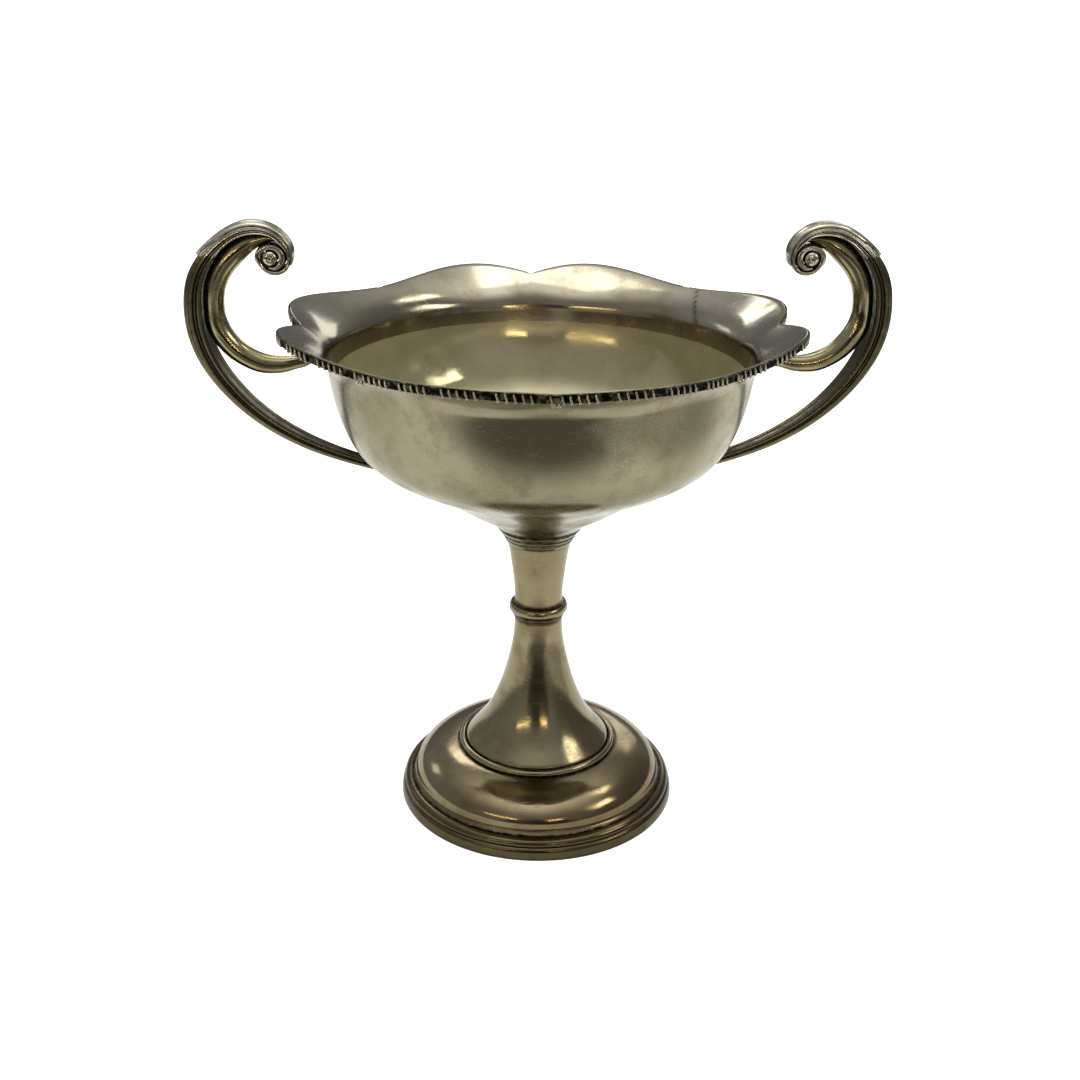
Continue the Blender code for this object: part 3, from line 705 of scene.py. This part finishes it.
@dataclass
class PedestalFoot:
    """Collar, stems, knop and stepped foot, all turned around the Z axis. Sizes in millimetres."""

    segments: int = 128
    wall: float = 1.3
    dome_top: Point = (43.3, 30.5)
    dome_edge: Point = (67.6, 15.0)
    dome_fullness: float = 1.74

    def with_wall(self, profile: Array) -> list[Point]:
        """Return the outline of a sheet from its outer profile, which runs downwards."""
        slopes = np.gradient(profile, axis=0)
        inwards = np.stack([slopes[:, 1], -slopes[:, 0]], axis=1) / np.hypot(*slopes.T)[:, None]
        inner = profile + self.wall * inwards
        return [tuple(point) for point in profile] + [tuple(point) for point in inner[::-1]]

    def turned(self, name: str, outline: Route, slot: str, finish: PlateFinish, node: str,
               grooves: Sequence[Groove] = ()) -> None:
        """Turn one closed outline, paint its grooves and dress it.

        Args:
            name: the piece's name.
            outline: the closed outline.
            slot: the record's material slot.
            finish: the finish.
            node: the CAD node that it stands for.
            grooves: where soot has gathered.
        """
        piece = turn([*outline, outline[0]], self.segments)

        def soot_and_shade(places: Array) -> Array:
            """Return the soot of the nearest groove."""
            radius, _ = polar(places)
            share = np.zeros(len(places))
            for groove in grooves:
                apart = np.hypot(radius - groove.radius, places[:, 2] - groove.height)
                share = np.maximum(share, groove.depth * bell(apart, groove.reach))
            return share

        paint(piece, "soot_and_shade", soot_and_shade)
        smooth(piece, 38.0)
        dress(piece, name, slot, (finish,), node)

    def build_stem(self) -> None:
        """Turn the collar, the two stems and the knop between them."""
        collar = [(22.5, 160.1), (22.3, 159.4), (21.4, 158.2), (20.6, 157.3), (20.1, 157), (19.8, 156.7),
                  (19.75, 156.4), (19.9, 156.1), (19.8, 155.6), (19.3, 155), (18.8, 154.6), (18.6, 154.2),
                  (18.6, 153.6), (18.2, 152.8), (17.7, 152), (17.4, 151.5), (14, 151.6), (16.5, 155.5),
                  (19, 160)]
        self.turned("collar_turning", collar, "stem_plate", OUTSIDE, "stem_collar",
                    (Groove(22.4, 160.1, 0.9), Groove(19.75, 156.5, 0.5), Groove(18.6, 153.9, 0.7, 0.8)))
        upper = spline([(17.2, 151.5), (15.9, 146), (14.7, 138), (13.7, 130), (13, 122), (12.9, 116.1)], 30)
        self.turned("upper_stem_spinning", self.with_wall(upper), "stem_plate", STEM, "upper_stem",
                    (Groove(13, 116.2, 1.1, 0.85), Groove(17.3, 151.4, 0.7, 0.6)))
        knop = [(12.6, 116.2), (13.4, 116), (14, 115.5), (14.5, 115.35), (15, 115), (15.45, 114.1),
                (15.75, 113.2), (15.8, 112.4), (15.7, 111.5), (15.3, 110.8), (14.8, 110.3), (14.4, 110.2),
                (14.1, 109.9), (13.9, 109.5), (10.6, 109.6), (10.6, 116)]
        self.turned("knop_turning", knop, "stem_plate", STEM, "knop_ring",
                    (Groove(13.9, 115.6, 0.8), Groove(14.5, 110.2, 0.6), Groove(13.9, 109.5, 0.8)))
        throat = [(13.7, 109.4), (13.95, 109), (13.95, 108.5), (13.6, 108), (13.25, 107.6), (13.4, 107.3),
                  (13.35, 107), (13, 106.6)]
        flare = spline([(12.9, 106.3), (13.7, 94), (16, 82), (19.1, 70), (22.6, 60), (26.2, 52),
                        (31.1, 44), (36, 38), (39.3, 34.2)], 56)
        end = [(39.65, 33.6), (39.75, 33), (39.75, 30.9)]
        profile = np.array([*throat, *[tuple(p) for p in flare], *end])
        self.turned("trumpet_stem_spinning", self.with_wall(profile), "stem_plate", TRUMPET, "lower_stem",
                    (Groove(13.6, 109.4, 0.9), Groove(13.25, 107.6, 0.5), Groove(12.95, 106.5, 0.6, 0.7),
                     Groove(39.7, 33, 1, 0.8)))

    def dome_profile(self) -> Array:
        """Return the dome's outer profile, from its inner edge over the top and down inside the skirt."""
        steps = np.linspace(math.pi / 2.0, 0.0, 40)
        power = 2.0 / self.dome_fullness
        r = self.dome_top[0] + (self.dome_edge[0] - self.dome_top[0]) * np.abs(np.cos(steps)) ** power
        z = self.dome_edge[1] + (self.dome_top[1] - self.dome_edge[1]) * np.abs(np.sin(steps)) ** power
        crown = np.stack([r, z], axis=-1)
        rest = [(67.75, 14.2), (68.1, 13.1), (68.6, 12.4), (69.4, 11.6), (70.1, 11.2), (70.1, 5), (70.1, 0.6)]
        return np.concatenate([[(38.4, 30.5), (41, 30.5)], crown, rest])

    def build_foot(self) -> None:
        """Turn the bead ring, the dome, the roll and the skirt."""
        bead = [(40, 30.7), (39.95, 31.9), (40.3, 32.9), (41, 33.5), (41.7, 33.6), (42.5, 33.3), (43.2, 32.5),
                (43.5, 31.6), (43.3, 30.7)]
        self.turned("bead_turning", bead, "foot_plate", TRUMPET, "foot_bead_ring",
                    (Groove(40, 32, 0.9), Groove(43.5, 30.8, 0.8)))
        self.turned("dome_spinning", self.with_wall(self.dome_profile()), "foot_plate", FOOT, "foot_dome",
                    (Groove(44, 30.5, 1.1, 0.85), Groove(70.1, 11.3, 1.2, 0.95), Groove(68.1, 13, 0.7, 0.5)))
        roll = [(70.3, 11), (71.2, 11.15), (72.4, 10.9), (73.4, 10.4), (74.1, 9.7), (74.6, 8.9), (74.75, 8.1),
                (74.5, 7.4), (74, 7.1), (70.4, 7.1)]
        self.turned("roll_turning", roll, "foot_plate", EDGE, "foot_roll",
                    (Groove(70.3, 11.1, 0.9), Groove(74.3, 7.1, 0.7)))
        skirt = [(73.4, 7.05), (73.9, 6.9), (74.6, 6.6), (75.3, 6), (75.8, 5), (76.1, 3.6), (76.3, 2),
                 (76.35, 0.6), (76.1, 0.15), (75.6, 0), (70.4, 0), (70.4, 6.9)]
        self.turned("skirt_turning", skirt, "foot_plate", EDGE, "foot_skirt",
                    (Groove(73.4, 7, 0.9), Groove(76.2, 0.2, 0.9, 0.6)))


@dataclass
class ScrollHandle:
    """Cast handle: a reeded strap rolled into a scroll, a leaf cap, a round branch and a pin. Sizes in mm."""

    eye: Point = (132.1, 302.0)
    roll: Route = ((640, 5, 1), (615, 6.1, 2), (590, 7.05, 2.9), (565, 7.6, 3.4), (540, 7.85, 3.7),
                   (510, 7.7, 3.6), (480, 7.1, 3), (450, 6.8, 2.7), (420, 6.9, 2.8), (395, 7.3, 3.2),
                   (375, 7.6, 3.5), (355, 7.5, 3.4), (330, 6.9, 2.6), (300, 7.1, 1.9), (270, 8.2, 2.2),
                   (240, 9.3, 2.1), (220, 9.9, 2.1), (200, 10.15, 2), (180, 10.2, 1.9),
                   (150, 10.5, 2.3))  # degrees, radius of the outer line and depth
    doming: Point = (220.0, 140.0)  # degrees between which the roll's flat section turns into the domed one
    roll_half_width: float = 7.1
    strap_route: Route = ((125.5, 311.3, 3.1, 7.2), (129.7, 315, 3.4, 7.3), (134.9, 317.2, 4.1, 7.4),
                          (140.6, 317.9, 4.7, 7.5), (147, 316.9, 5, 7.6), (153.2, 314.2, 5.3, 7.7),
                          (159.3, 310, 6, 7.8), (166.6, 303.3, 7.5, 7.9), (173.4, 292.2, 8.9, 7.9),
                          (176.05, 279.6, 9.65, 7.9), (175.7, 266.5, 9.8, 7.9), (172.8, 254.8, 9.7, 7.8),
                          (167.5, 243.8, 9.2, 7.6), (159.6, 232.8, 8.5, 7.2), (148.2, 221.2, 7.7, 6.6),
                          (133, 210.2, 6.9, 5.9), (114.8, 201.1, 6, 5.2), (98, 195.2, 5.2, 4.6),
                          (82, 190.9, 4.8, 4.3), (70, 188.9, 4.6, 4.2), (56, 187.2, 4.6, 4.2))
    tube_route: Route = ((128.9, 309.5, 0.6), (130.7, 310.1, 1.2), (133.2, 310.6, 2), (136.7, 310.3, 2.9),
                         (140.6, 309.3, 4.1), (144.3, 307.6, 4.95), (149.9, 303.3, 5.6), (154.6, 298.2, 5.55),
                         (158.2, 292.6, 5.4), (160.6, 286.3, 5.3), (161.5, 279.2, 5.2), (161.4, 272.5, 5.25),
                         (160, 266.1, 5.6), (156.25, 259.9, 5.5), (151.4, 254.65, 5.3), (146.4, 251.2, 5.15),
                         (140.6, 248.6, 5.05), (134.7, 247.6, 4.65), (128.2, 247.8, 4.1), (122.6, 248.7, 3.3),
                         (118.6, 249.3, 2.75), (116.4, 249.9, 2.1))
    flange: Route = ((0.535, 0.89, 0.7), (0.555, 0.8, 1), (0.575, 0.8, 1), (0.6, 0.93, 0.4),
                     (0.64, 0.975, 0), (0.685, 0.95, 0.35), (0.715, 0.88, 0.8), (0.745, 0.89, 0.7),
                     (0.78, 0.985, 0.1), (0.85, 1.02, 0), (0.93, 1.01, 0.1), (0.98, 0.95, 0.4), (1, 0.86, 0.8),
                     (0.9, 0.5, 0.9), (0.82, 0, 0.9))  # shares of the strap's depth and half width, and soot, with painted shade where the underside faces the branch
    face: Route = ((0.13, 0.96, 0.9), (0.17, 0.985, 0.6), (0.22, 1, 0.25), (0.28, 1.012, 0.05), (0.36, 1.02, 0),
                   (0.45, 1.025, 0), (0.55, 1.025, 0), (0.65, 1.02, 0), (0.74, 1.01, 0), (0.82, 1, 0.15),
                   (0.89, 0.98, 0.5), (0.94, 0.95, 0.9), (0.98, 0.9, 1), (0.97, 0.5, 1),
                   (0.96, 0, 1))  # the same for the roll
    reed_grooves: tuple[float, ...] = (0.34, 0.56, 0.76)  # shares of the way over the strap's crown
    reed_depth: float = 0.3
    blackened: Point = (309.0, 14.0)  # height below which the strap darkens with soot and painted shade, and over how many millimetres
    worn: Point = (262.0, 22.0)  # the same for its wear
    leaf_tip: Point = (167.6, 303.0)
    leaf_points: int = 29
    leaf_width: float = 0.8  # as a share of the strap's
    leaf_thickness: float = 1.2
    vein: float = 0.3
    boss: Route = ((0, -0.75), (0.3, -0.7), (0.55, -0.45), (0.8, -0.15), (1.1, -0.02), (1.5, 0), (2, -0.06),
                   (2.5, -0.25), (2.95, -0.55), (3.3, -0.9), (3.5, -1.25), (3.6, -1.7))
    boss_height: float = 8.4
    boss_foot: float = 7.3
    dimple: float = 0.6  # radius of its soot
    pin_segments: int = 40
    bite: float = 0.35  # how deep the strap's end reaches into the bowl's wall
    crown_points: int = 30
    steps: int = 210
    tube_sides: int = 32
    tube_steps: int = 110
    tube_shade_end: tuple[int, int] = (80, 25)  # station of the branch where its painted shade ends, and stations of fading
    roll_box: Point = (150.0, 270.0)  # the roll lies within this X and above this height

    def stations(self) -> Array:
        """Return the strap's stations from the inner end of the roll to the bowl.

        Returns:
            x, z, depth, half width and the share of doming, one row each.
        """
        turns, radius, depth = np.array(self.roll).T
        doming = np.clip((self.doming[0] - turns) / (self.doming[0] - self.doming[1]), 0.0, 1.0)
        rolled = np.stack([self.eye[0] + radius * np.cos(np.radians(turns)),
                           self.eye[1] + radius * np.sin(np.radians(turns)), depth,
                           np.full(len(turns), self.roll_half_width), doming], axis=-1)
        route = np.array([(*station, 1.0) for station in self.strap_route])
        stations = spline(np.concatenate([rolled, route]), self.steps)
        stations[:, 4] = np.clip(stations[:, 4], 0.0, 1.0)
        return stations

    def half_section(self, crown: Array, soot_and_shade: Array, edge: Route) -> tuple[Array, Array]:
        """Return half of a section, which is its crown and then its edge, and its soot and painted shade.

        Args:
            crown: shares of depth and half width with the depth of ripple, one row each.
            soot_and_shade: the crown's soot.
            edge: shares of depth and half width with the soot and painted shade, one row each.

        Returns:
            Shares of depth and half width with the depth of ripple, and the soot and painted shade.
        """
        depth, half_width, edge_soot_and_shade = np.array(edge).T
        plain = np.stack([depth, half_width, np.zeros(len(edge))], axis=-1)
        return np.concatenate([crown, plain]), np.concatenate([soot_and_shade, edge_soot_and_shade])

    def strap_section(self) -> tuple[Array, Array]:
        """Return half the strap's section, its soot and painted shade: fine reeds, a deep groove, a thin reed and the
        flange.
        """
        way = np.linspace(0.0, 1.0, self.crown_points)
        turned = way * math.pi / 2.0
        depth = 0.52 * (1.0 - np.cos(turned)) ** 1.1
        half_width = 0.92 * np.sin(turned) ** 0.8
        ripple = sum(bell(way - groove, 0.03) for groove in self.reed_grooves)
        crown = np.stack([depth, half_width, ripple], axis=-1)
        return self.half_section(crown, np.clip(ripple, 0.0, 1.0) * 0.75 + 0.1 * way, self.flange)

    def roll_section(self) -> tuple[Array, Array]:
        """Return half of the roll's section: slightly crowned faces between turns that are black in their joint."""
        way = np.linspace(0.0, 1.0, self.crown_points)
        crown = np.stack([0.1 * way**4, 0.93 * way, np.zeros(self.crown_points)], axis=-1)
        return self.half_section(crown, np.where(way > 0.96, 0.8, 0.25 * way), self.face)

    def frames(self, stations: Array) -> tuple[Array, Array]:
        """Return the inward directions at the stations, in x and z."""
        slopes = np.gradient(stations[:, :2], axis=0)
        slopes /= np.hypot(*slopes.T)[:, None]
        return slopes[:, 1], -slopes[:, 0]

    def strap_rings(self, stations: Array) -> tuple[Array, Array]:
        """Return the strap's sections, their soot and painted shade: black beside the branch, worn plain below it."""
        rings, shares = [], []
        inx, inz = self.frames(stations)
        (flat, flat_soot), (domed, domed_soot_and_shade) = self.roll_section(), self.strap_section()
        # soot with painted shade of the gap beside the branch; lighter where the strap is worn plain
        soot_and_shade_beside_branch, plain_soot = 0.28 + 0.5 * domed_soot_and_shade, 0.08 + 0.3 * domed_soot_and_shade
        falling = np.arange(len(stations)) > np.argmax(stations[:, 1])
        dark, worn = (np.clip((start - stations[:, 1]) / reach, 0.0, 1.0) * falling
                      for start, reach in (self.blackened, self.worn))
        for k, (x, z, depth, half_width, doming) in enumerate(stations):
            half = (flat + (domed - flat) * doming) * (1.0, 1.0, 1.0 - 0.75 * worn[k])
            soot_and_shade = flat_soot + (domed_soot_and_shade - flat_soot) * doming
            soot_and_shade = soot_and_shade + (soot_and_shade_beside_branch - soot_and_shade) * dark[k]
            soot_and_shade = soot_and_shade + (plain_soot - soot_and_shade) * worn[k]
            section = np.concatenate([half, (half * (1.0, -1.0, 1.0))[-2:0:-1]])
            down = section[:, 0] * depth + section[:, 2] * self.reed_depth * min(1.0, max(0.45, depth / 6.0))
            across = section[:, 1] * half_width * (1.0 - 0.03 * section[:, 2])
            rings.append(np.stack([x + inx[k] * down, across, z + inz[k] * down], axis=-1))
            shares.append(np.concatenate([soot_and_shade, soot_and_shade[-2:0:-1]]))
        return np.array(rings), np.array(shares)

    def build_strap(self) -> Piece:
        """Wrap the strap and cut its end to the bowl's wall."""
        rings, shares = self.strap_rings(self.stations())
        strap = wrap(rings)
        self.paint_near(strap, rings, shares)
        wall = np.array(LobedBowl().wall_line()) - (self.bite, 0.0)
        room = turn([(0.0, wall[0][1] - 0.1), *wall, (0.0, wall[-1][1])], 128)
        apply_modifier(strap, "BOOLEAN", operation="DIFFERENCE", solver="EXACT", object=room)
        bpy.data.objects.remove(room, do_unlink=True)
        smooth(strap, 48.0)
        return strap

    def darken_below_leaf(self, strap: Piece) -> None:
        """Give the second finish to the strap's faces below the leaf's tip, but not to the roll."""
        width, foot = self.roll_box
        for face in strap.data.polygons:
            x, _, z = face.center / MM
            face.material_index = int(z < self.leaf_tip[1] and (abs(x) > width or z < foot))

    def paint_near(self, piece: Piece, rings: Array, shares: Array) -> None:
        """Paint each point with the soot and painted shade of the section point that it was laid on.

        Args:
            piece: the wrapped piece.
            rings: the places that it was wrapped over.
            shares: the soot and painted shade at those places.
        """
        def keys(places: Array) -> list[tuple[int, ...]]:
            """Return each place to the nearest 0.02 mm."""
            return [tuple(key) for key in np.rint(places * 50).astype(int)]

        known = dict(zip(keys(rings.reshape(-1, 3)), shares.ravel()))
        paint(piece, "soot_and_shade", lambda places: np.array([known.get(key, 0.5) for key in keys(places)]))

    def build_leaf(self) -> Piece:
        """Lay the leaf cap over the strap's crown, with a midrib, veins and a raised tip."""
        stations = self.stations()
        x, z = stations[:, 0], stations[:, 1]
        first = max(i for i in range(np.argmax(z)) if z[i] < self.eye[1] - 3.0)
        last = max(i for i in range(len(z)) if x[i] < self.leaf_tip[0] and z[i] > self.eye[1])
        covered = stations[first : last + 1]
        along = np.linspace(0.0, 1.0, len(covered))
        thickness = self.leaf_thickness * np.minimum(1.0, 0.3 + 0.7 * along / 0.16)
        narrowing = np.minimum(1.0, 0.12 + 0.88 * (1.0 - along) / 0.2)
        across = np.linspace(-1.0, 1.0, self.leaf_points)
        vein = self.vein * np.abs(np.sin(across * 3.0 * math.pi)) ** 0.6
        rib = 0.25 * bell(across, 0.08)
        flat, domed = (half[: self.crown_points] for half, _ in (self.roll_section(), self.strap_section()))
        inx, inz = self.frames(covered)
        rings = []
        for k, (x, z, depth, half_width, doming) in enumerate(covered):
            place = self.leaf_width * across * narrowing[k]
            half = flat + (domed - flat) * doming
            bed = np.interp(np.abs(place), half[:, 1], half[:, 0]) * depth
            crown = bed - 0.25 - thickness[k] * (1.0 - 0.5 * across**6) - rib + (self.vein - vein)
            down = np.concatenate([bed + 0.15, crown[::-1]])
            wide = np.concatenate([place, place[::-1]]) * half_width
            rings.append(np.stack([x + inx[k] * down, wide, z + inz[k] * down], axis=-1))
        leaf = wrap(np.array(rings))
        soot_and_shade = np.concatenate([np.ones(self.leaf_points), (0.6 * (1.0 - vein / self.vein))[::-1]])
        self.paint_near(leaf, np.array(rings), np.tile(soot_and_shade, (len(rings), 1)))
        smooth(leaf, 55.0)
        return leaf

    def build_tube(self) -> Piece:
        """Sweep the round branch from the scroll to the rim arm, with painted shade on its side under the strap."""
        route = spline(self.tube_route, self.tube_steps)
        inx, inz = self.frames(route)
        round_angles = np.linspace(0.0, math.tau, self.tube_sides, endpoint=False)
        radius = np.maximum(route[:, 2:3], 0.3)
        out = radius * np.cos(round_angles)
        wide = radius * np.sin(round_angles)
        rings = np.stack([route[:, :1] + inx[:, None] * out, wide, route[:, 1:2] + inz[:, None] * out], axis=-1)
        tube = wrap(rings)
        # painted shade on the side that faces the strap
        near = np.clip(-np.cos(round_angles) * 1.6 - 0.55, 0.0, 0.9)
        end, fading = self.tube_shade_end
        fade = np.clip((end - np.arange(len(route))) / fading, 0.0, 1.0)
        self.paint_near(tube, rings, near[None, :] * fade[:, None])
        smooth(tube, 60.0)
        return tube

    def build_pin(self) -> Piece:
        """Turn the pin with a dimpled boss on each end and lay it along Y through the eye."""
        outline = [(r, self.boss_height + z) for r, z in self.boss]
        outline += [(r, -z) for r, z in reversed(outline)]
        pin = turn(outline, self.pin_segments)
        paint(pin, "soot_and_shade", lambda p: np.where(polar(p)[0] < self.dimple, 0.95,
                                              np.clip((self.boss_foot - np.abs(p[:, 2])) * 2.0, 0.0, 1.0)))
        pick(pin)
        pin.rotation_euler = (math.pi / 2.0, 0.0, 0.0)
        pin.location = (self.eye[0] * MM, 0.0, self.eye[1] * MM)
        bpy.ops.object.transform_apply(location=True, rotation=True)
        smooth(pin, 50.0)
        return pin

    def build(self) -> None:
        """Model the right handle's pieces and mirror them to the left."""
        made = {("strap", "reeded_strap"): (self.build_strap(), (HANDLE_LIGHTER, HANDLE_DARKER)),
                ("leaf_cap", "reeded_leaf"): (self.build_leaf(), (HANDLE_LIGHTER,)),
                ("scroll_tube", "round_branch"): (self.build_tube(), (HANDLE,)),
                ("scroll_pin", "eye_boss"): (self.build_pin(), (HANDLE_LIGHTER,))}
        for side in Side:
            for (node, word), (model, finishes) in made.items():
                piece = placed_copy(model, mirrored=side is Side.LEFT)
                smooth(piece, 50.0)
                dress(piece, f"{side.value}_{word}", "handle_plate", finishes, f"handle_{side.value}_{node}")
                if HANDLE_DARKER in finishes:
                    self.darken_below_leaf(piece)
            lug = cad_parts[f"handle_{side.value}_rim_lug"]
            lug.material_slots[0].link = "OBJECT"
            lug.material_slots[0].material = HANDLE.material()
        for model, _ in made.values():
            bpy.data.objects.remove(model, do_unlink=True)


def stage_sheet(name: str, half_sides: Point, centre: Sequence[float], standing: bool = False) -> Material:
    """Set up a flat sheet that belongs to the stage.

    Args:
        name: its name, also of its material.
        half_sides: half of its width and of its depth or height, in metres.
        centre: its place in metres.
        standing: whether it stands, facing the object, and doesn't lie.

    Returns:
        Its material.
    """
    deselect()
    bpy.ops.mesh.primitive_plane_add(size=2.0)
    sheet = bpy.context.object
    bpy.ops.object.mode_set(mode="EDIT")
    bpy.ops.transform.resize(value=(*half_sides, 1.0), center_override=(0.0, 0.0, 0.0))
    bpy.ops.object.mode_set(mode="OBJECT")
    sheet.location = centre
    sheet.rotation_euler = (math.pi / 2.0 if standing else 0.0, 0.0, 0.0)
    sheet.name = name
    material = bpy.data.materials.new(name)
    material.use_nodes = True
    sheet.data.materials.append(material)
    return material


@dataclass(frozen=True)
class Softbox:
    """A studio lamp: direction from the object in degrees, distance and width in metres, brightness of its face.

    Azimuth 0 is towards the front (-Y) and 90 towards the right (+X).
    """

    azimuth: float
    elevation: float
    distance: float
    width: float
    brightness: float
    colour: str = "FFFFFF"
    height: float = 0.0  # 0 for a square one
    target: float = 0.2  # height above the table that it faces

    def build(self, number: int) -> None:
        """Hang the lamp and face it to the middle of the object."""
        height = self.height or self.width
        data = bpy.data.lights.new(f"softbox_{number}", "AREA")
        data.shape = "RECTANGLE"
        data.size, data.size_y = self.width, height
        data.energy = self.brightness * math.pi * self.width * height
        data.color = linear(self.colour)[:3]
        lamp = bpy.data.objects.new(data.name, data)
        bpy.context.scene.collection.objects.link(lamp)
        lamp.visible_camera = False
        az, el = math.radians(self.azimuth), math.radians(self.elevation)
        away = self.distance * math.cos(el)
        lamp.location = (away * math.sin(az), -away * math.cos(az), self.target + self.distance * math.sin(el))
        lamp.rotation_euler = (math.pi / 2.0 - el, 0.0, az)


@dataclass(frozen=True)
class Flag:
    """A black card that only the metal sees, soft at its edge. Sizes in metres."""

    name: str
    centre: tuple[float, float, float]
    half_sides: Point
    darkness: float
    standing: bool = False

    def build(self) -> None:
        """Set the card up in its place."""
        material = stage_sheet(self.name, self.half_sides, self.centre, self.standing)
        card = bpy.context.object
        for kind in ("camera", "diffuse", "shadow", "transmission", "volume_scatter"):
            setattr(card, f"visible_{kind}", False)
        tree = material.node_tree
        tree.nodes.remove(tree.nodes["Principled BSDF"])
        place = add_node(tree, "TexCoord", output="Object")
        across, up = self.half_sides
        scaled = add_node(tree, "Mapping", {"Vector": place, "Scale": (1.0 / across, 1.0 / up, 1.0)})
        away = add_node(tree, "VectorMath", {0: scaled}, "Value", operation="LENGTH")
        share = add_node(tree, "MapRange", {"Value": away, 1: 1.0, 2: 0.6, 4: self.darkness},
                         interpolation_type="SMOOTHSTEP")
        black = add_node(tree, "Emission", {"Strength": 0.0})
        mixed = add_node(tree, "MixShader", {0: share, 1: add_node(tree, "BsdfTransparent"), 2: black})
        tree.links.new(mixed, tree.nodes["Material Output"].inputs["Surface"])


@dataclass
class Studio:
    """Camera, white table, lamps and the soft surroundings that the metal reflects. Metres and degrees."""

    camera_place: tuple[float, float, float] = (-0.03798, -0.68645, 0.4405)
    pitch: float = 22.85
    heading: float = -3.2
    roll: float = 0.72
    lens: float = 46.67  # in millimetres, as is the sensor
    sensor: float = 36.0
    table_front: float = -1.2
    table_half: Point = (2.0, 1.5)
    table_height: float = -0.0002
    room_levels: Route = ((0, 0.1), (0.12, 0.16), (0.4, 0.19), (0.64, 0.21), (0.88, 0.65), (0.985, 1),
                          (1, 1))  # brightness of the room by the height of a direction
    behind: tuple[float, ...] = (0.75, 0.98, 2.0, 1.1)  # two shares of facing the back, brightness at each
    at_right: tuple[float, ...] = (0.45, 0.9, 1.0, 0.55)  # the same for facing right
    lamps: tuple[Softbox, ...] = (
        Softbox(101, 52, 1.5, 0.3, 5, "FFFBF0"),
        Softbox(-166, 33, 1.8, 0.56, 3.5, "FFFDF8", 0.36),
        Softbox(67, 31, 1.5, 0.52, 6, "FFFAEE", 0.32),
        Softbox(-165, 75, 1.5, 0.75, 2.3, "FFFBF0"),
        Softbox(13, 12, 0.95, 0.22, 30, "FFE2A8", 0.014),
        Softbox(-34, 13.5, 0.95, 0.5, 22, "FFE2A8", 0.012),
        Softbox(-128, 20, 1.8, 0.3, 1.6),
        Softbox(158, 17, 1.8, 0.6, 1.6, "FFFDF8"),
    )
    flags: tuple[Flag, ...] = (
        Flag("standing_card", (-0.03, -1, 0.22), (0.7, 0.39), 0.8, standing=True),
        Flag("lying_card", (0, -0.56, 0.01), (0.62, 0.4), 0.86),
        Flag("card_at_right", (0.57, -0.2, 0.01), (0.38, 0.38), 0.5),
    )

    def build_camera(self) -> None:
        """Set the camera where the photograph was taken from."""
        data = bpy.data.cameras.new("camera")
        data.lens = self.lens
        data.sensor_width = self.sensor
        camera = bpy.data.objects.new("camera", data)
        bpy.context.scene.collection.objects.link(camera)
        camera.location = self.camera_place
        turned = (Matrix.Rotation(math.radians(self.heading), 3, "Z")
                  @ Matrix.Rotation(math.radians(90.0 - self.pitch), 3, "X")
                  @ Matrix.Rotation(math.radians(self.roll), 3, "Z"))
        camera.rotation_euler = turned.to_euler()
        bpy.context.scene.camera = camera

    def build_table(self) -> None:
        """Lay the matt white table top, which reaches 1.2 m in front of the object."""
        middle = (0.0, self.table_front + self.table_half[1], self.table_height)
        material = stage_sheet("white_table", self.table_half, middle)
        material.name = "matt_white_laminate"
        tree = material.node_tree
        shader = tree.nodes["Principled BSDF"]
        shader.inputs["Base Color"].default_value = linear("E8E8E6")
        shader.inputs["Roughness"].default_value = 0.8
        shader.inputs["Emission Color"].default_value = (1.0, 1.0, 0.97, 1.0)
        ray = add_node(tree, "LightPath").node.outputs
        mirrored = add_node(tree, "Math", {0: ray["Is Glossy Ray"], 1: 0.3}, operation="MULTIPLY")
        seen = add_node(tree, "Math", {0: ray["Is Camera Ray"], 1: 0.9, 2: mirrored}, operation="MULTIPLY_ADD")
        tree.links.new(seen, shader.inputs["Emission Strength"])

    def build_surroundings(self) -> None:
        """Surround the object with a soft room: white for the camera, for the metal bright above and dim at right."""
        world = bpy.data.worlds.new("room")
        bpy.context.scene.world = world
        world.use_nodes = True
        tree = world.node_tree
        towards = add_node(tree, "TexCoord", output="Generated")
        x, _, z = add_node(tree, "SeparateXYZ", {0: towards}).node.outputs
        level = add_node(tree, "FloatCurve", {"Value": z})
        points = level.node.mapping.curves[0].points
        for height, brightness in self.room_levels[1:-1]:
            points.new(height, brightness)
        points[0].location, points[-1].location = self.room_levels[0], self.room_levels[-1]
        level.node.mapping.update()
        near = add_node(tree, "VectorMath", {0: towards, 1: (0.0, 1.0, -0.1)}, "Value", operation="DOT_PRODUCT")
        room = level
        for facing, limits in ((near, self.behind), (x, self.at_right)):
            share = add_node(tree, "MapRange", {"Value": facing} | dict(enumerate(limits, start=1)),
                             interpolation_type="SMOOTHSTEP")
            room = add_node(tree, "Math", {0: room, 1: share}, operation="MULTIPLY")
        camera = add_node(tree, "LightPath", output="Is Camera Ray")
        strength = add_node(tree, "Mix", {0: camera, 2: room, 3: 1.0}, data_type="FLOAT")
        background = tree.nodes["Background"]
        tree.links.new(strength, background.inputs["Strength"])
        background.inputs["Color"].default_value = (1.0, 1.0, 1.0, 1.0)

    def build(self) -> None:
        """Set up the camera, the table, the room, the cards and the lamps."""
        self.build_camera()
        self.build_table()
        self.build_surroundings()
        for flag in self.flags:
            flag.build()
        for number, lamp in enumerate(self.lamps, start=1):
            lamp.build(number)
        bpy.context.scene.view_settings.view_transform = "Standard"


def main() -> None:
    """Build the object's sub-assemblies and the studio around them."""
    logging.basicConfig(level=logging.INFO, format="%(name)s %(message)s")
    Studio().build()
    bowl = LobedBowl()
    bowl.build()
    GadroonBorder(bowl).build()
    pedestal = PedestalFoot()
    pedestal.build_stem()
    pedestal.build_foot()
    ScrollHandle().build()


if __name__ == "__main__":
    main()
